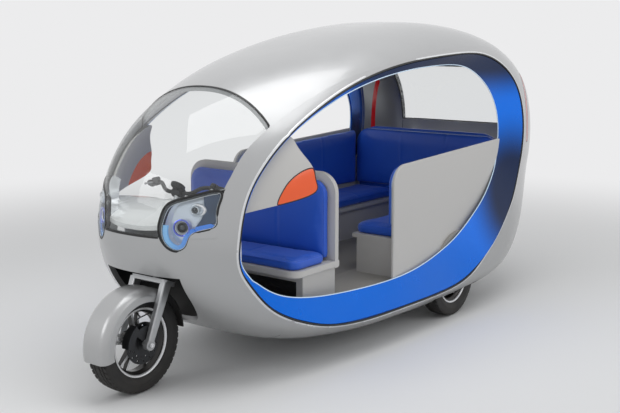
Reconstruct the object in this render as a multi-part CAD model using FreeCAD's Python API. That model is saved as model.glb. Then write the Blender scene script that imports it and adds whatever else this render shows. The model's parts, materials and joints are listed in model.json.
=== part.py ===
import FreeCAD, Part
import math
import os

os.makedirs("parts", exist_ok=True)
Vec = FreeCAD.Vector
origin = Vec(0, 0, 0)
x_axis = Vec(1, 0, 0)

# Driving dimensions, in millimetres. The nose points to -Y, left is +X, the ground is z = 0.
body_length = 3510.0
body_height = 1790.0
half_width = 750.0
middle_shift = -16.0
centre_y = -50.0
centre_z = 950.0
shell_thickness = 30.0
cap_share = 0.95

wheel_radius = 270.0
front_axle_y = -1590.0
rear_axle_y = 675.0
rear_track_half = 582.0
tyre_width = 125.0
front_tyre_width = 135.0
rim_radius = 182.0
rim_wall = 8.0
hub_radius = 42.0
axle_radius = 17.0
running_fit = 0.05
seat_gap = 0.2
clear_gap = 6.0

floor_top = 378.0
floor_thickness = 34.0
floor_front = -1230.0
floor_back = 1420.0
cabin_half = 655.0
panel_thickness = 20.0

# Body surface: rows of centre plane points as shares of length and height,
# with the two exponents that round the plan at that row.
profile_shares = [
    (0.555, 0.000, 8.04, 3.46),
    (0.560, 0.174, 8.02, 3.47),
    (0.526, 0.335, 7.25, 3.43),
    (0.441, 0.460, 5.60, 3.29),
    (0.303, 0.534, 3.83, 3.10),
    (0.139, 0.536, 2.95, 2.95),
    (0.000, 0.502, 2.74, 2.86),
    (-0.113, 0.454, 2.68, 2.81),
    (-0.211, 0.400, 2.40, 2.70),
    (-0.302, 0.328, 2.18, 2.55),
    (-0.380, 0.228, 2.15, 2.42),
    (-0.429, 0.103, 2.18, 2.33),
    (-0.447, -0.031, 2.35, 2.30),
    (-0.433, -0.165, 2.75, 2.33),
    (-0.387, -0.291, 3.30, 2.40),
    (-0.301, -0.398, 4.45, 2.55),
    (-0.152, -0.459, 6.70, 3.00),
    (-0.000, -0.470, 8.79, 3.46),
    (0.156, -0.470, 10.36, 3.81),
    (0.301, -0.461, 10.60, 4.00),
    (0.432, -0.413, 10.50, 4.00),
    (0.514, -0.251, 9.40, 3.72),
]
ring_shares = [0.0, 0.16, 0.32, 0.46, 0.58, 0.69, 0.78, 0.85, 0.905, cap_share]

# Side opening: outer edge and inner edge of the slanted reveal, as shares of
# length and height from the centre, and the inner edge's x as a share of the half width.
opening_shares = [
    (-0.364, -0.097, -0.363, -0.097, 0.655),
    (-0.348, 0.033, -0.348, 0.033, 0.647),
    (-0.315, 0.126, -0.315, 0.126, 0.669),
    (-0.259, 0.214, -0.258, 0.212, 0.707),
    (-0.169, 0.302, -0.168, 0.297, 0.749),
    (-0.068, 0.366, -0.066, 0.355, 0.776),
    (0.051, 0.407, 0.051, 0.388, 0.785),
    (0.185, 0.428, 0.171, 0.399, 0.790),
    (0.293, 0.427, 0.256, 0.383, 0.800),
    (0.373, 0.380, 0.319, 0.324, 0.815),
    (0.425, 0.291, 0.359, 0.251, 0.820),
    (0.446, 0.162, 0.376, 0.162, 0.830),
    (0.439, 0.034, 0.372, 0.061, 0.840),
    (0.413, -0.089, 0.349, -0.022, 0.865),
    (0.368, -0.207, 0.305, -0.106, 0.885),
    (0.305, -0.304, 0.254, -0.170, 0.893),
    (0.234, -0.377, 0.197, -0.229, 0.890),
    (0.157, -0.409, 0.123, -0.277, 0.880),
    (0.014, -0.413, 0.009, -0.310, 0.868),
    (-0.137, -0.406, -0.128, -0.310, 0.810),
    (-0.228, -0.368, -0.225, -0.292, 0.780),
    (-0.299, -0.302, -0.296, -0.257, 0.745),
    (-0.345, -0.209, -0.343, -0.196, 0.700),
]
reveal_wall = 11.0
reveal_gap = 1.0
lip_share = 0.1
back_step_share = 0.7


def save(shape, name, join_faces=True):
    shape = shape.translated(Vec(0, middle_shift, 0))
    if join_faces:
        shape = shape.removeSplitter()
    if not shape.isValid():
        shape.fix(seat_gap * 0.0005, seat_gap * 0.0005, seat_gap * 0.005)
    shape.exportStep("parts/" + name + ".step")
    print(name, len(shape.Solids), shape.isValid(), round(shape.Volume * 1e-6, 3))
    return shape


def mirrored(shape):
    return shape.mirror(Vec(0, 0, 0), Vec(1, 0, 0))


def box(x_low, x_high, y_low, y_high, z_low, z_high):
    return Part.makeBox(x_high - x_low, y_high - y_low, z_high - z_low, Vec(x_low, y_low, z_low))


def cylinder_x(radius, x_low, x_high, y, z):
    return Part.makeCylinder(radius, x_high - x_low, Vec(x_low, y, z), Vec(1, 0, 0))


def rounded(shape, radius, chosen):
    return shape.makeFillet(radius, [edge for edge in shape.Edges if chosen(edge.BoundBox)])


def solid_outline(points, along):
    return Part.Face(Part.makePolygon(points + [points[0]])).extrude(along)


def fused(shapes):
    result = shapes[0]
    for shape in shapes[1:]:
        result = result.fuse(shape)
    return result


def largest(shape):
    return max(shape.Solids, key=lambda solid: solid.Volume)


# Body surface as closed rings at constant x
angles = []
radii = []
for y_share, z_share, side_power, edge_power in profile_shares:
    angle = math.atan2(z_share * body_height, y_share * body_length)
    if angle < 0:
        angle += 2 * math.pi
    angles.append(angle)
    radii.append(math.hypot(z_share * body_height, y_share * body_length))


def ring_points(x_share, inset):
    points = []
    for row, angle in enumerate(angles):
        side_power, edge_power = profile_shares[row][2:]
        shrink = (1 - abs(x_share) ** side_power) ** (1 / edge_power)
        radius = (radii[row] - inset) * shrink
        points.append(Vec(x_share * (half_width - inset), centre_y + radius * math.cos(angle),
                          centre_z + radius * math.sin(angle)))
    return points


def ring_wire(points):
    curve = Part.BSplineCurve()
    curve.interpolate(Points=points, PeriodicFlag=True, Parameters=angles + [angles[0] + 2 * math.pi])
    return Part.Wire([curve.toShape()])


def body_volume(inset):
    wires = []
    for share in [-s for s in reversed(ring_shares[1:])] + ring_shares:
        wires.append(ring_wire(ring_points(share, inset)))
    return Part.makeLoft(wires, True, False)


def row_value(angle, values):
    # periodic linear reading of a row value at an angle
    count = len(angles)
    angle = angle % (2 * math.pi)
    for row in range(count):
        low = angles[row]
        high = angles[(row + 1) % count]
        if row == count - 1:
            high = high + 2 * math.pi
        if low <= angle <= high:
            share = (angle - low) / (high - low)
            return values[row] * (1 - share) + values[(row + 1) % count] * share
    return values[0]


profile_curve = ring_wire(ring_points(0.0, 0.0)).Edges[0].Curve


def side_x(y, z):
    # x of the body surface over a point of the side view
    angle = math.atan2(z - centre_z, y - centre_y)
    if angle < 0:
        angle += 2 * math.pi
    side_power = row_value(angle, [row[2] for row in profile_shares])
    edge_power = row_value(angle, [row[3] for row in profile_shares])
    on_profile = profile_curve.value(angle)
    reach = math.hypot(on_profile.y - centre_y, on_profile.z - centre_z)
    share = math.hypot(y - centre_y, z - centre_z) / reach
    if share >= 1:
        return 0.0
    return half_width * (1 - share ** edge_power) ** (1 / side_power)


outer_body = body_volume(0.0)
inner_body = body_volume(shell_thickness)
shell = outer_body.cut(inner_body)
print("shell", shell.isValid(), len(shell.Solids), shell.BoundBox)

# Side openings
outer_edge = []
inner_edge = []
for y_out, z_out, y_in, z_in, x_in in opening_shares:
    y_outer = centre_y + y_out * body_length
    z_outer = centre_z + z_out * body_height
    outer_edge.append(Vec(0, y_outer, z_outer))
    inner_edge.append(Vec(0, centre_y + y_in * body_length, centre_z + z_in * body_height))


def closed_face(points):
    curve = Part.BSplineCurve()
    curve.interpolate(Points=points, PeriodicFlag=True, Parameters=[float(i) for i in range(len(points) + 1)])
    return Part.Face(Part.Wire([curve.toShape()]))


def prism_x(points, x_low, x_high):
    face = closed_face([Vec(x_low, p.y, p.z) for p in points])
    return face.extrude(Vec(x_high - x_low, 0, 0))


opening_start = 430.0
opening_left = prism_x(outer_edge, opening_start, half_width + shell_thickness)
opening_right = mirrored(opening_left)
shell = shell.cut(opening_left).cut(opening_right)

# Front wheel well under the nose and the rear wheel wells
rake = math.radians(23.0)
trail_offset = 35.0
axis_dir = Vec(0, math.sin(rake), math.cos(rake))
axis_foot = Vec(0, front_axle_y + trail_offset, wheel_radius)
well_radius = 268.0
well_top = 628.0
liner_wall = 12.0


def on_axis(height):
    return axis_foot + axis_dir * ((height - wheel_radius) / math.cos(rake))


def axis_cylinder(radius, low, high):
    start = on_axis(low)
    return Part.makeCylinder(radius, (on_axis(high) - start).Length, start, axis_dir)


def well_volume(radius, top):
    # a column round the steering axis, swept out to the front and closed at the top
    column = axis_cylinder(radius, -body_height, body_height)
    below = box(-body_length, body_length, -body_length, body_length, -body_height / 2, top)
    column = column.common(below)
    ahead = box(-radius, radius, -body_length, 0, -body_height / 2, top)
    behind_axis = box(-body_length, body_length, 0, body_length, -body_length, body_length)
    behind_axis.rotate(Vec(0, 0, 0), Vec(1, 0, 0), -math.degrees(rake))
    behind_axis.translate(axis_foot)
    return column.fuse(ahead.cut(behind_axis))


well = well_volume(well_radius, well_top)
arch_gap = 23.0
arch_gap_inner = 26.0
arch_gap_outer = 9.0
arch_wall = 8.0
arch_radius = wheel_radius + arch_gap
arch_inner_x = rear_track_half - tyre_width / 2 - arch_gap_inner
arch_outer_x = rear_track_half + tyre_width / 2 + arch_gap_outer
rear_well = cylinder_x(arch_radius, arch_inner_x, arch_outer_x, rear_axle_y, wheel_radius)
rear_well = rear_well.fuse(box(arch_inner_x, arch_outer_x, rear_axle_y - arch_radius,
                               rear_axle_y + arch_radius, 0, wheel_radius))
shell = shell.cut(well).cut(rear_well).cut(mirrored(rear_well))

# Panel boundaries
screen_base = 845.0
screen_top_y = -1040.0
pillar_joint_y = -970.0
far = body_length
roof_back_y = 1530.0
window_low = 1165.0
window_high = 1600.0
belly_half = 500.0
belly_top = 420.0
tail_half = 520.0
window_outer_half = 600.0


def plan_prism(points, z_low, z_high):
    face = Part.Face(Part.makePolygon([Vec(p.x, p.y, z_low) for p in points + [points[0]]]))
    return face.extrude(Vec(0, 0, z_high - z_low))


# Roof crease in plan: shares of the half width and of the length from the centre
crease_shares = [
    (0.573, -0.470), (0.575, -0.385), (0.645, -0.262), (0.713, -0.128), (0.760, 0.014),
    (0.777, 0.185), (0.777, 0.356), (0.747, 0.470), (0.680, 0.613),
]
crease_points = [Vec(x * half_width, centre_y + y * body_length, 0) for x, y in crease_shares]


def crease_line(count):
    curve = Part.BSplineCurve()
    curve.interpolate(crease_points)
    low = curve.FirstParameter
    high = curve.LastParameter
    return [curve.value(low + (high - low) * i / count) for i in range(count + 1)]


left_points = crease_line(24)
right_points = [Vec(-p.x, p.y, 0) for p in reversed(left_points)]
strip_prism = plan_prism(left_points + right_points, 0.0, body_height + centre_z)
front_side = box(-far, far, -far, pillar_joint_y, 0, far)
screen_zone = box(-far, far, -far, screen_top_y, screen_base, far)
windscreen = largest(shell.common(strip_prism).common(screen_zone))
roof_zone = box(-far, far, screen_top_y, roof_back_y, centre_z, far)
roof_panel = largest(shell.common(strip_prism).common(roof_zone))
window_zone = box(-tail_half, tail_half, roof_back_y, far, window_low, window_high)
back_zone = box(-far, far, centre_y, far, 0, far)
top_zone = box(-far, far, roof_back_y, far, window_high, far)
roof_panel = roof_panel.fuse(shell.common(strip_prism).common(top_zone)).removeSplitter()
rear_window = largest(shell.common(window_zone))
tail_zone = box(-tail_half, tail_half, rear_axle_y, far, belly_top, window_low)
tail_panel = largest(shell.common(tail_zone))
belly_zone = box(-belly_half, belly_half, pillar_joint_y, far, 0, belly_top)
belly_panel = largest(shell.common(belly_zone))

# Headlamp pods, red tail lamps
# Outline seen from the front: shares of the half width and of the height from the centre
lamp_shares = [
    (0.267, -0.011), (0.273, -0.059), (0.309, -0.084), (0.368, -0.097), (0.428, -0.085), (0.461, -0.050),
    (0.571, -0.030), (0.571, 0.017), (0.565, 0.070), (0.475, 0.064), (0.383, 0.051), (0.305, 0.035),
]
lamp_back = -1330.0


def lamp_outline(y, step_in):
    points = [Vec(x * half_width, y, centre_z + z * body_height) for x, z in lamp_shares]
    middle = Vec(sum(p.x for p in points) / len(points), y, sum(p.z for p in points) / len(points))
    return [p + (middle - p).normalize() * step_in for p in points]


def lamp_column(step_in):
    curve = Part.BSplineCurve()
    curve.interpolate(Points=lamp_outline(-far, step_in), PeriodicFlag=True)
    return Part.Face(Part.Wire([curve.toShape()])).extrude(Vec(0, far + lamp_back, 0))


lamp_prism = lamp_column(0)
headlamp_left = largest(shell.common(lamp_prism))
windscreen = largest(windscreen.cut(lamp_prism).cut(mirrored(lamp_prism)))
tail_lamp_y = 1590.0
tail_lamp_width = 42.0
tail_lamp_low = 1080.0
tail_lamp_high = 1570.0
tail_lamp_zone = box(window_outer_half, half_width, tail_lamp_y, tail_lamp_y + tail_lamp_width,
                     tail_lamp_low, tail_lamp_high)
tail_lamp_left = largest(shell.common(tail_lamp_zone))

rest = shell.cut(windscreen).cut(roof_panel).cut(rear_window).cut(tail_panel).cut(belly_panel)
rest = rest.cut(lamp_prism).cut(mirrored(lamp_prism)).cut(tail_lamp_zone).cut(mirrored(tail_lamp_zone))
front_body = largest(rest.common(front_side))
behind = rest.cut(front_side)
hoop_left = largest(behind.common(box(0, far, -far, far, 0, far)))
hoop_right = mirrored(hoop_left)

save(front_body, "front_body")
save(windscreen, "windscreen")
save(roof_panel, "roof_panel")
save(rear_window, "rear_window")
save(tail_panel, "tail_panel", False)
save(belly_panel, "belly_panel")
save(hoop_left, "side_hoop_left", False)
save(hoop_right, "side_hoop_right", False)
save(headlamp_left, "headlamp_left")
save(mirrored(headlamp_left), "headlamp_right")
save(tail_lamp_left, "tail_lamp_left")
save(mirrored(tail_lamp_left), "tail_lamp_right")


# Slanted blue reveal inside each side opening
def offset_inward(points, distance):
    result = []
    count = len(points)
    for i, p in enumerate(points):
        along = points[(i + 1) % count] - points[i - 1]
        inward = Vec(0, -along.z, along.y).normalize()
        to_centre = Vec(0, centre_y - p.y, centre_z - p.z)
        if inward.dot(to_centre) < 0:
            inward = inward * -1
        result.append(p + inward * distance)
    return result


def spatial_ring(points, xs):
    curve = Part.BSplineCurve()
    count = len(points)
    curve.interpolate(Points=[Vec(x, p.y, p.z) for p, x in zip(points, xs)], PeriodicFlag=True,
                      Parameters=[float(i) for i in range(count + 1)])
    return curve


def band(first, second, low, high):
    # straight rulings between the same stretch of two curves that share their knots
    first_part = first.copy()
    second_part = second.copy()
    first_part.segment(low, high)
    second_part.segment(low, high)
    surface = Part.BSplineSurface()
    poles = [[a, b] for a, b in zip(first_part.getPoles(), second_part.getPoles())]
    surface.buildFromPolesMultsKnots(poles, first_part.getMultiplicities(), [2, 2], first_part.getKnots(),
                                     [0.0, 1.0], False, False, first_part.Degree, 1)
    return surface.toShape()


outer_x = [side_x(p.y, p.z) for p in outer_edge]
lip_x = [x - shell_thickness * lip_share for x in outer_x]
deep_x = [row[4] * half_width for row in opening_shares]
back_step = reveal_wall * back_step_share


def reveal_solid(side):
    outer_gap = offset_inward(outer_edge, reveal_gap)
    inner_gap = offset_inward(inner_edge, reveal_gap)
    outer_wall = offset_inward(outer_edge, reveal_wall)
    inner_wall = offset_inward(inner_edge, reveal_wall)
    rings = [
        spatial_ring(outer_gap, [side * (x - back_step) for x in lip_x]),
        spatial_ring(inner_gap, [side * (x - back_step) for x in deep_x]),
        spatial_ring(inner_wall, [side * x for x in deep_x]),
        spatial_ring(outer_wall, [side * x for x in lip_x]),
    ]
    if side < 0:
        rings.reverse()
    half_way = float(len(lip_x) // 2)
    faces = []
    for i, ring in enumerate(rings):
        following = rings[(i + 1) % len(rings)]
        faces.append(band(ring, following, 0.0, half_way))
        faces.append(band(ring, following, half_way, float(len(lip_x))))
    skin = Part.makeShell(faces)
    skin.sewShape()
    return Part.makeSolid(skin)


reveal_left = reveal_solid(1)
reveal_right = reveal_solid(-1)
save(reveal_left, "reveal_left")
save(reveal_right, "reveal_right")

# Liner of the front wheel well
liner_outer = well_volume(well_radius + liner_wall, well_top + liner_wall)
wheel_well_liner = largest(liner_outer.cut(well).common(inner_body))

# Rear wheel arches
arch_shell_radius = arch_radius + arch_wall
arch_shell_x = arch_inner_x - arch_wall
arch_shell = cylinder_x(arch_shell_radius, arch_shell_x, cabin_half, rear_axle_y, wheel_radius)
arch_shell = arch_shell.fuse(box(arch_shell_x, cabin_half, rear_axle_y - arch_shell_radius,
                                 rear_axle_y + arch_shell_radius, 0, wheel_radius))
axle_tube_radius = 30.0
arch_left = largest(arch_shell.cut(rear_well).common(inner_body))
arch_left = arch_left.cut(cylinder_x(axle_tube_radius + seat_gap, 0, cabin_half, rear_axle_y, wheel_radius))
arch_space = arch_shell

# Floor with the rear arches, bulkhead and side panels
floor_half = 640.0
floor_half_front = 575.0
floor_taper_back = 60.0
floor_taper_front = -480.0
anchor_radius = 4.5
anchor_half = 190.0
anchor_front = 350.0
anchor_spacing = 700.0
floor_plan = [Vec(floor_half, floor_back, 0), Vec(floor_half, floor_taper_back, 0),
              Vec(floor_half_front, floor_taper_front, 0), Vec(floor_half_front, -far, 0)]
floor_plan = floor_plan + [Vec(-p.x, p.y, 0) for p in reversed(floor_plan)]
floor_pan = plan_prism(floor_plan, floor_top - floor_thickness, floor_top)
floor_pan = floor_pan.common(inner_body).cut(liner_outer).cut(arch_space).cut(mirrored(arch_space))
floor_pan = fused([floor_pan, arch_left, mirrored(arch_left)]).removeSplitter()
floor_pan = largest(floor_pan.cut(reveal_left).cut(reveal_right))
for x in (-anchor_half, anchor_half):
    for y in (anchor_front, anchor_front + anchor_spacing):
        floor_pan = floor_pan.cut(Part.makeCylinder(anchor_radius, body_height, Vec(x, y, 0)))
floor_pan = largest(floor_pan)

bulkhead_y = 1350.0
bulkhead_thickness = 45.0
bulkhead_top = 1145.0
bulkhead_half = 600.0
bulkhead_corner = 160.0
bulkhead_round = 12.0
rear_bulkhead = box(-bulkhead_half, bulkhead_half, bulkhead_y, bulkhead_y + bulkhead_thickness, floor_top,
                    bulkhead_top)
rear_bulkhead = rounded(rear_bulkhead, bulkhead_corner,
                        lambda b: b.ZMin > bulkhead_top - seat_gap and b.XLength < seat_gap)
rear_bulkhead = rounded(rear_bulkhead, bulkhead_round,
                        lambda b: b.YLength < seat_gap and b.ZMax > floor_top + seat_gap)

panel_x = 620.0
panel_front = -90.0
panel_top_front = 1075.0
panel_top_back = 1135.0
panel_corner = 120.0
panel_round = 7.0
panel_back = bulkhead_y + bulkhead_thickness
side_panel_left = solid_outline([
    Vec(panel_x, panel_front, floor_top), Vec(panel_x, panel_front, panel_top_front),
    Vec(panel_x, panel_back, panel_top_back), Vec(panel_x, panel_back, floor_top)],
    Vec(panel_thickness, 0, 0))
side_panel_left = rounded(side_panel_left, panel_corner,
                          lambda b: b.YMax < panel_front + seat_gap and b.ZMin > panel_top_front - seat_gap)
side_panel_left = rounded(side_panel_left, panel_round, lambda b: b.XLength < seat_gap
                          and b.ZMax > floor_top + seat_gap and b.YMin < panel_back - seat_gap)
tail_cut_y = 1000.0
tail_cut_z = 900.0
within = prism_x(offset_inward(inner_edge, reveal_wall + seat_gap), 0, half_width)
tail_cut = box(0, half_width, tail_cut_y, far, tail_cut_z, body_height).cut(within)
side_panel_left = side_panel_left.common(inner_body).cut(arch_space).cut(tail_cut)
side_panel_left = largest(side_panel_left.cut(reveal_left))

# Passenger benches along both sides: a seat top that overhangs a set back box
bench_inner = 270.0
bench_set_back = 34.0
bench_lip = 26.0
bench_front = 10.0
bench_seat = 620.0
bench_wall = 18.0
cushion_height = 75.0
cushion_round = 24.0
bench_length = bulkhead_y - bench_front
bench = solid_outline([
    Vec(panel_x, bench_front, floor_top), Vec(panel_x, bench_front, bench_seat),
    Vec(bench_inner, bench_front, bench_seat), Vec(bench_inner, bench_front, bench_seat - bench_lip),
    Vec(bench_inner + bench_set_back, bench_front, bench_seat - bench_lip),
    Vec(bench_inner + bench_set_back, bench_front, floor_top)], Vec(0, bench_length, 0))
bench_hollow = box(bench_inner + bench_set_back + bench_wall, panel_x - bench_wall, bench_front + bench_wall,
                   bulkhead_y - bench_wall, floor_top, bench_seat - bench_lip)
bench_left = largest(bench.cut(bench_hollow).cut(arch_space))
bench_cushion_top = bench_seat + cushion_height
bench_cushion_left = box(bench_inner, panel_x, bench_front, bulkhead_y, bench_seat, bench_cushion_top)
bench_cushion_left = rounded(bench_cushion_left, cushion_round,
                             lambda b: b.ZMin > bench_cushion_top - seat_gap)

# Driver's seat across the cabin: pedestal, shell with rounded ends, cushion and backrest
seat_half = 556.0
seat_front = -930.0
seat_base_front = -830.0
seat_base_top = 545.0
seat_cushion_top = 650.0
seat_shell_back = -530.0
seat_shell_wall = 40.0
seat_back_top = 1085.0
seat_corner = 120.0
seat_plan_corner = 70.0
seat_round = 12.0
backrest_depth = 60.0
backrest_inset = 24.0
backrest_round = 22.0
pedestal_half = 525.0
recess_half = 480.0
recess_depth = 90.0
pedestal = box(-pedestal_half, pedestal_half, seat_base_front, seat_shell_back, floor_top, seat_base_top)
pedestal = pedestal.cut(box(-recess_half, recess_half, seat_base_front, seat_base_front + recess_depth,
                            floor_top, seat_base_top - seat_shell_wall))
shell_floor = seat_base_top + seat_shell_wall
back_shell = box(-seat_half, seat_half, seat_shell_back - seat_shell_wall, seat_shell_back, seat_base_top,
                 seat_back_top)
back_shell = rounded(back_shell, seat_corner, lambda b: b.ZMin > seat_back_top - seat_gap
                     and b.XLength < seat_gap)
back_shell = rounded(back_shell, seat_round, lambda b: b.YLength < seat_gap
                     and b.ZMax > shell_floor and b.YMin > seat_shell_back - seat_gap)
seat_lip = box(-seat_half, seat_half, seat_front, seat_shell_back, seat_base_top, shell_floor)
seat_lip = rounded(seat_lip, seat_plan_corner,
                   lambda b: b.YMax < seat_front + seat_gap and b.XLength < seat_gap)
seat_lip = rounded(seat_lip, seat_round, lambda b: b.ZMax < seat_base_top + seat_gap
                   and b.YMin < seat_front + seat_plan_corner)
driver_seat_shell = fused([pedestal, back_shell, seat_lip]).removeSplitter()
cushion_back = seat_shell_back - seat_shell_wall - backrest_depth
driver_cushion = box(-seat_half, seat_half, seat_front, cushion_back, shell_floor, seat_cushion_top)
driver_cushion = rounded(driver_cushion, seat_plan_corner,
                         lambda b: b.YMax < seat_front + seat_gap and b.XLength < seat_gap)
driver_cushion = rounded(driver_cushion, cushion_round,
                         lambda b: b.ZMin > seat_cushion_top - seat_gap and b.YMin < cushion_back - seat_gap)
backrest_half = seat_half - backrest_inset
backrest_top = seat_back_top - backrest_inset
driver_backrest = box(-backrest_half, backrest_half, cushion_back, seat_shell_back - seat_shell_wall,
                      shell_floor, backrest_top)
driver_backrest = rounded(driver_backrest, seat_corner - backrest_inset,
                          lambda b: b.ZMin > backrest_top - seat_gap and b.XLength < seat_gap)
driver_backrest = rounded(driver_backrest, backrest_round, lambda b: b.YMax < cushion_back + seat_gap
                          and b.ZMax > shell_floor + seat_gap)

# Lamp units behind the clear covers: an open tray with a projector and a small side lamp
unit_gap = 0.6
unit_depth = 54.0
tray_rim = 9.0
tray_depth = 42.0
projector_radius = 45.0
projector_bore = 33.0
side_lamp_radius = 24.0
side_lamp_bore = 16.0
lens_share = 0.96
# Centres as shares of the half width and of the height from the centre
projector_share = (0.391, -0.031)
side_lamp_share = (0.455, 0.018)
lamp_aim = Vec(0.42, -0.90, 0.04).normalize()
unit_front = body_volume(shell_thickness + unit_gap)
unit_floor = body_volume(shell_thickness + unit_gap + tray_depth)
unit_back = body_volume(shell_thickness + unit_gap + unit_depth)
unit_block = unit_front.common(lamp_column(unit_gap)).cut(unit_back)
unit_hollow = unit_front.common(lamp_column(tray_rim)).cut(unit_floor)
lamp_unit = largest(unit_block.cut(unit_hollow))


def lamp_barrel(centre_share, radius, bore):
    x = centre_share[0] * half_width
    z = centre_z + centre_share[1] * body_height
    y = -math.sqrt(max(0.0, 1 - (x / half_width) ** 2)) * front_reach(z)
    mouth = Vec(x, centre_y + y, z) - lamp_aim * (unit_gap + shell_thickness * 2)
    barrel = Part.makeCylinder(radius, unit_depth, mouth, lamp_aim * -1)
    bowl = Part.makeCone(bore, bore / 2, radius, mouth, lamp_aim * -1)
    lens = Part.makeSphere(bore * lens_share, mouth - lamp_aim * bore)
    return barrel.cut(bowl).fuse(lens.common(barrel))


def front_reach(z):
    # half length of the body's front at a height, on the centre plane
    low = 0.0
    high = body_length
    for step in range(40):
        middle = (low + high) / 2
        if side_x(centre_y - middle, z) > 0:
            low = middle
        else:
            high = middle
    return low


for share, radius, bore in ((projector_share, projector_radius, projector_bore),
                            (side_lamp_share, side_lamp_radius, side_lamp_bore)):
    barrel = lamp_barrel(share, radius, bore).common(unit_front)
    lamp_unit = lamp_unit.fuse(barrel.cut(unit_back))
lamp_unit = largest(lamp_unit.removeSplitter())

# Hood and dashboard in one shell behind the windscreen
dash_wall = 20.0
dash_back = -1225.0
hood_crown = 42.0
hood_half = 600.0
# Centre line from the nose back: shares of the length and of the height from the centre
hood_shares = [(-0.500, -0.150), (-0.470, -0.086), (-0.447, -0.046), (-0.413, -0.008), (-0.373, 0.013),
               (-0.348, 0.016), (-0.3365, 0.004)]
hood_stations = [-1.0, -0.66, -0.33, 0.0, 0.33, 0.66, 1.0]


def hood_section(station):
    drop = hood_crown * station ** 2
    top = [Vec(station * hood_half, centre_y + y * body_length, centre_z + z * body_height - drop)
           for y, z in hood_shares]
    under = []
    for i, p in enumerate(top):
        along = top[min(i + 1, len(top) - 1)] - top[max(i - 1, 0)]
        under.append(p + Vec(0, along.z, -along.y).normalize() * dash_wall)
    foot_outer = Vec(top[-1].x, dash_back, floor_top)
    foot_inner = Vec(top[-1].x, dash_back - dash_wall, floor_top)
    top[-1].y = dash_back
    under[-1].y = dash_back - dash_wall
    top_curve = Part.BSplineCurve()
    top_curve.interpolate(top)
    under_curve = Part.BSplineCurve()
    under_curve.interpolate(list(reversed(under)))
    wall = Part.makePolygon([top[-1], foot_outer, foot_inner, under[-1]]).Edges
    return Part.Wire([top_curve.toShape()] + wall + [under_curve.toShape(), Part.makeLine(under[0], top[0])])


head_radius = 32.0
dashboard = Part.makeLoft([hood_section(station) for station in hood_stations], True, False)
dashboard = dashboard.common(inner_body).cut(liner_outer).cut(opening_left).cut(opening_right)
lamp_space = lamp_column(-seat_gap).cut(body_volume(shell_thickness + unit_gap + unit_depth + seat_gap))
dashboard = dashboard.cut(lamp_space).cut(mirrored(lamp_space))
dashboard = largest(dashboard.cut(axis_cylinder(head_radius + clear_gap, well_top, body_height)))

# Wing panels with an amber lamp at the front of each side opening
wing_thickness = 16.0
# Outlines in the side view: shares of the length and of the height from the centre
wing_shares = [
    (-0.373, 0.006), (-0.365, 0.061), (-0.339, 0.128), (-0.302, 0.182), (-0.257, 0.208), (-0.247, 0.178),
    (-0.235, 0.134), (-0.228, 0.102), (-0.227, 0.072), (-0.235, 0.038), (-0.298, 0.016), (-0.342, 0.003),
]
amber_shares = [
    (-0.214, 0.106), (-0.235, 0.113), (-0.255, 0.102), (-0.272, 0.083), (-0.286, 0.056), (-0.299, 0.006),
    (-0.271, -0.028), (-0.214, 0.000),
]


def side_prism(shares):
    return prism_x([Vec(0, centre_y + y * body_length, centre_z + z * body_height) for y, z in shares],
                   opening_start / 2, half_width)


wing_skin = body_volume(shell_thickness + seat_gap).cut(body_volume(shell_thickness + wing_thickness))
wing_whole = largest(wing_skin.common(side_prism(wing_shares)).cut(reveal_left).cut(lamp_space))
amber_zone = side_prism(amber_shares)
indicator_left = largest(wing_whole.common(amber_zone))
wing_left = largest(wing_whole.cut(amber_zone))
dashboard = largest(dashboard.cut(wing_whole).cut(mirrored(wing_whole)))

# Chassis, battery and rear axle with its drive unit
rail_x = 330.0
rail_width = 50.0
rail_low = 255.0
rail_top = floor_top - floor_thickness
rail_front = -1090.0
rail_back = 1330.0
rail_cross = 45.0
cross_shares = [0.054, 0.252, 0.558, 0.967]
cross_ys = [rail_front + share * (rail_back - rail_front) for share in cross_shares]
axle_gap = 20.0
foot_half = 20.0
rails = []
for side in (-1, 1):
    low = side * rail_x - rail_width / 2
    rails.append(box(low, low + rail_width, rail_front, rail_back, rail_low, rail_top))
for y in cross_ys:
    rails.append(box(-rail_x, rail_x, y, y + rail_cross, rail_low, rail_top))
chassis_frame = fused(rails).common(inner_body).removeSplitter()
hanger_top = wheel_radius + axle_tube_radius + axle_gap / 2
chassis_frame = chassis_frame.cut(box(-half_width, half_width, rear_axle_y - axle_tube_radius - axle_gap,
                                      rear_axle_y + axle_tube_radius + axle_gap, 0, hanger_top))
for y in cross_ys:
    for side in (-1, 1):
        foot = box(side * rail_x - foot_half, side * rail_x + foot_half, y, y + rail_cross, 0, rail_top)
        chassis_frame = chassis_frame.fuse(foot.common(inner_body))
chassis_frame = chassis_frame.removeSplitter()

battery_half = 250.0
battery_low = 205.0
battery_pack = box(-battery_half, battery_half, cross_ys[1] + rail_cross, cross_ys[2], battery_low, rail_top)
axle_end = arch_inner_x - arch_wall
stub_end = rear_track_half + hub_radius
drive_radius = 62.0
drive_half = 112.0
drive_neck = 40.0
drive_flange = 9.0
axle_profile = [
    Vec(0, 0, 0), Vec(0, 0, drive_radius), Vec(drive_half - drive_flange, 0, drive_radius),
    Vec(drive_half - drive_flange, 0, drive_radius + drive_flange),
    Vec(drive_half, 0, drive_radius + drive_flange), Vec(drive_half, 0, drive_radius - drive_flange),
    Vec(drive_half + drive_neck, 0, axle_tube_radius),
    Vec(axle_end, 0, axle_tube_radius), Vec(axle_end, 0, axle_radius), Vec(stub_end, 0, axle_radius),
    Vec(stub_end, 0, 0)]
half_axle = Part.Face(Part.makePolygon(axle_profile + [axle_profile[0]])).revolve(origin, x_axis, 360)
half_axle.translate(Vec(0, rear_axle_y, wheel_radius))
hanger = box(rail_x - foot_half, rail_x + foot_half, rear_axle_y - foot_half, rear_axle_y + foot_half,
             wheel_radius, hanger_top)
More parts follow.
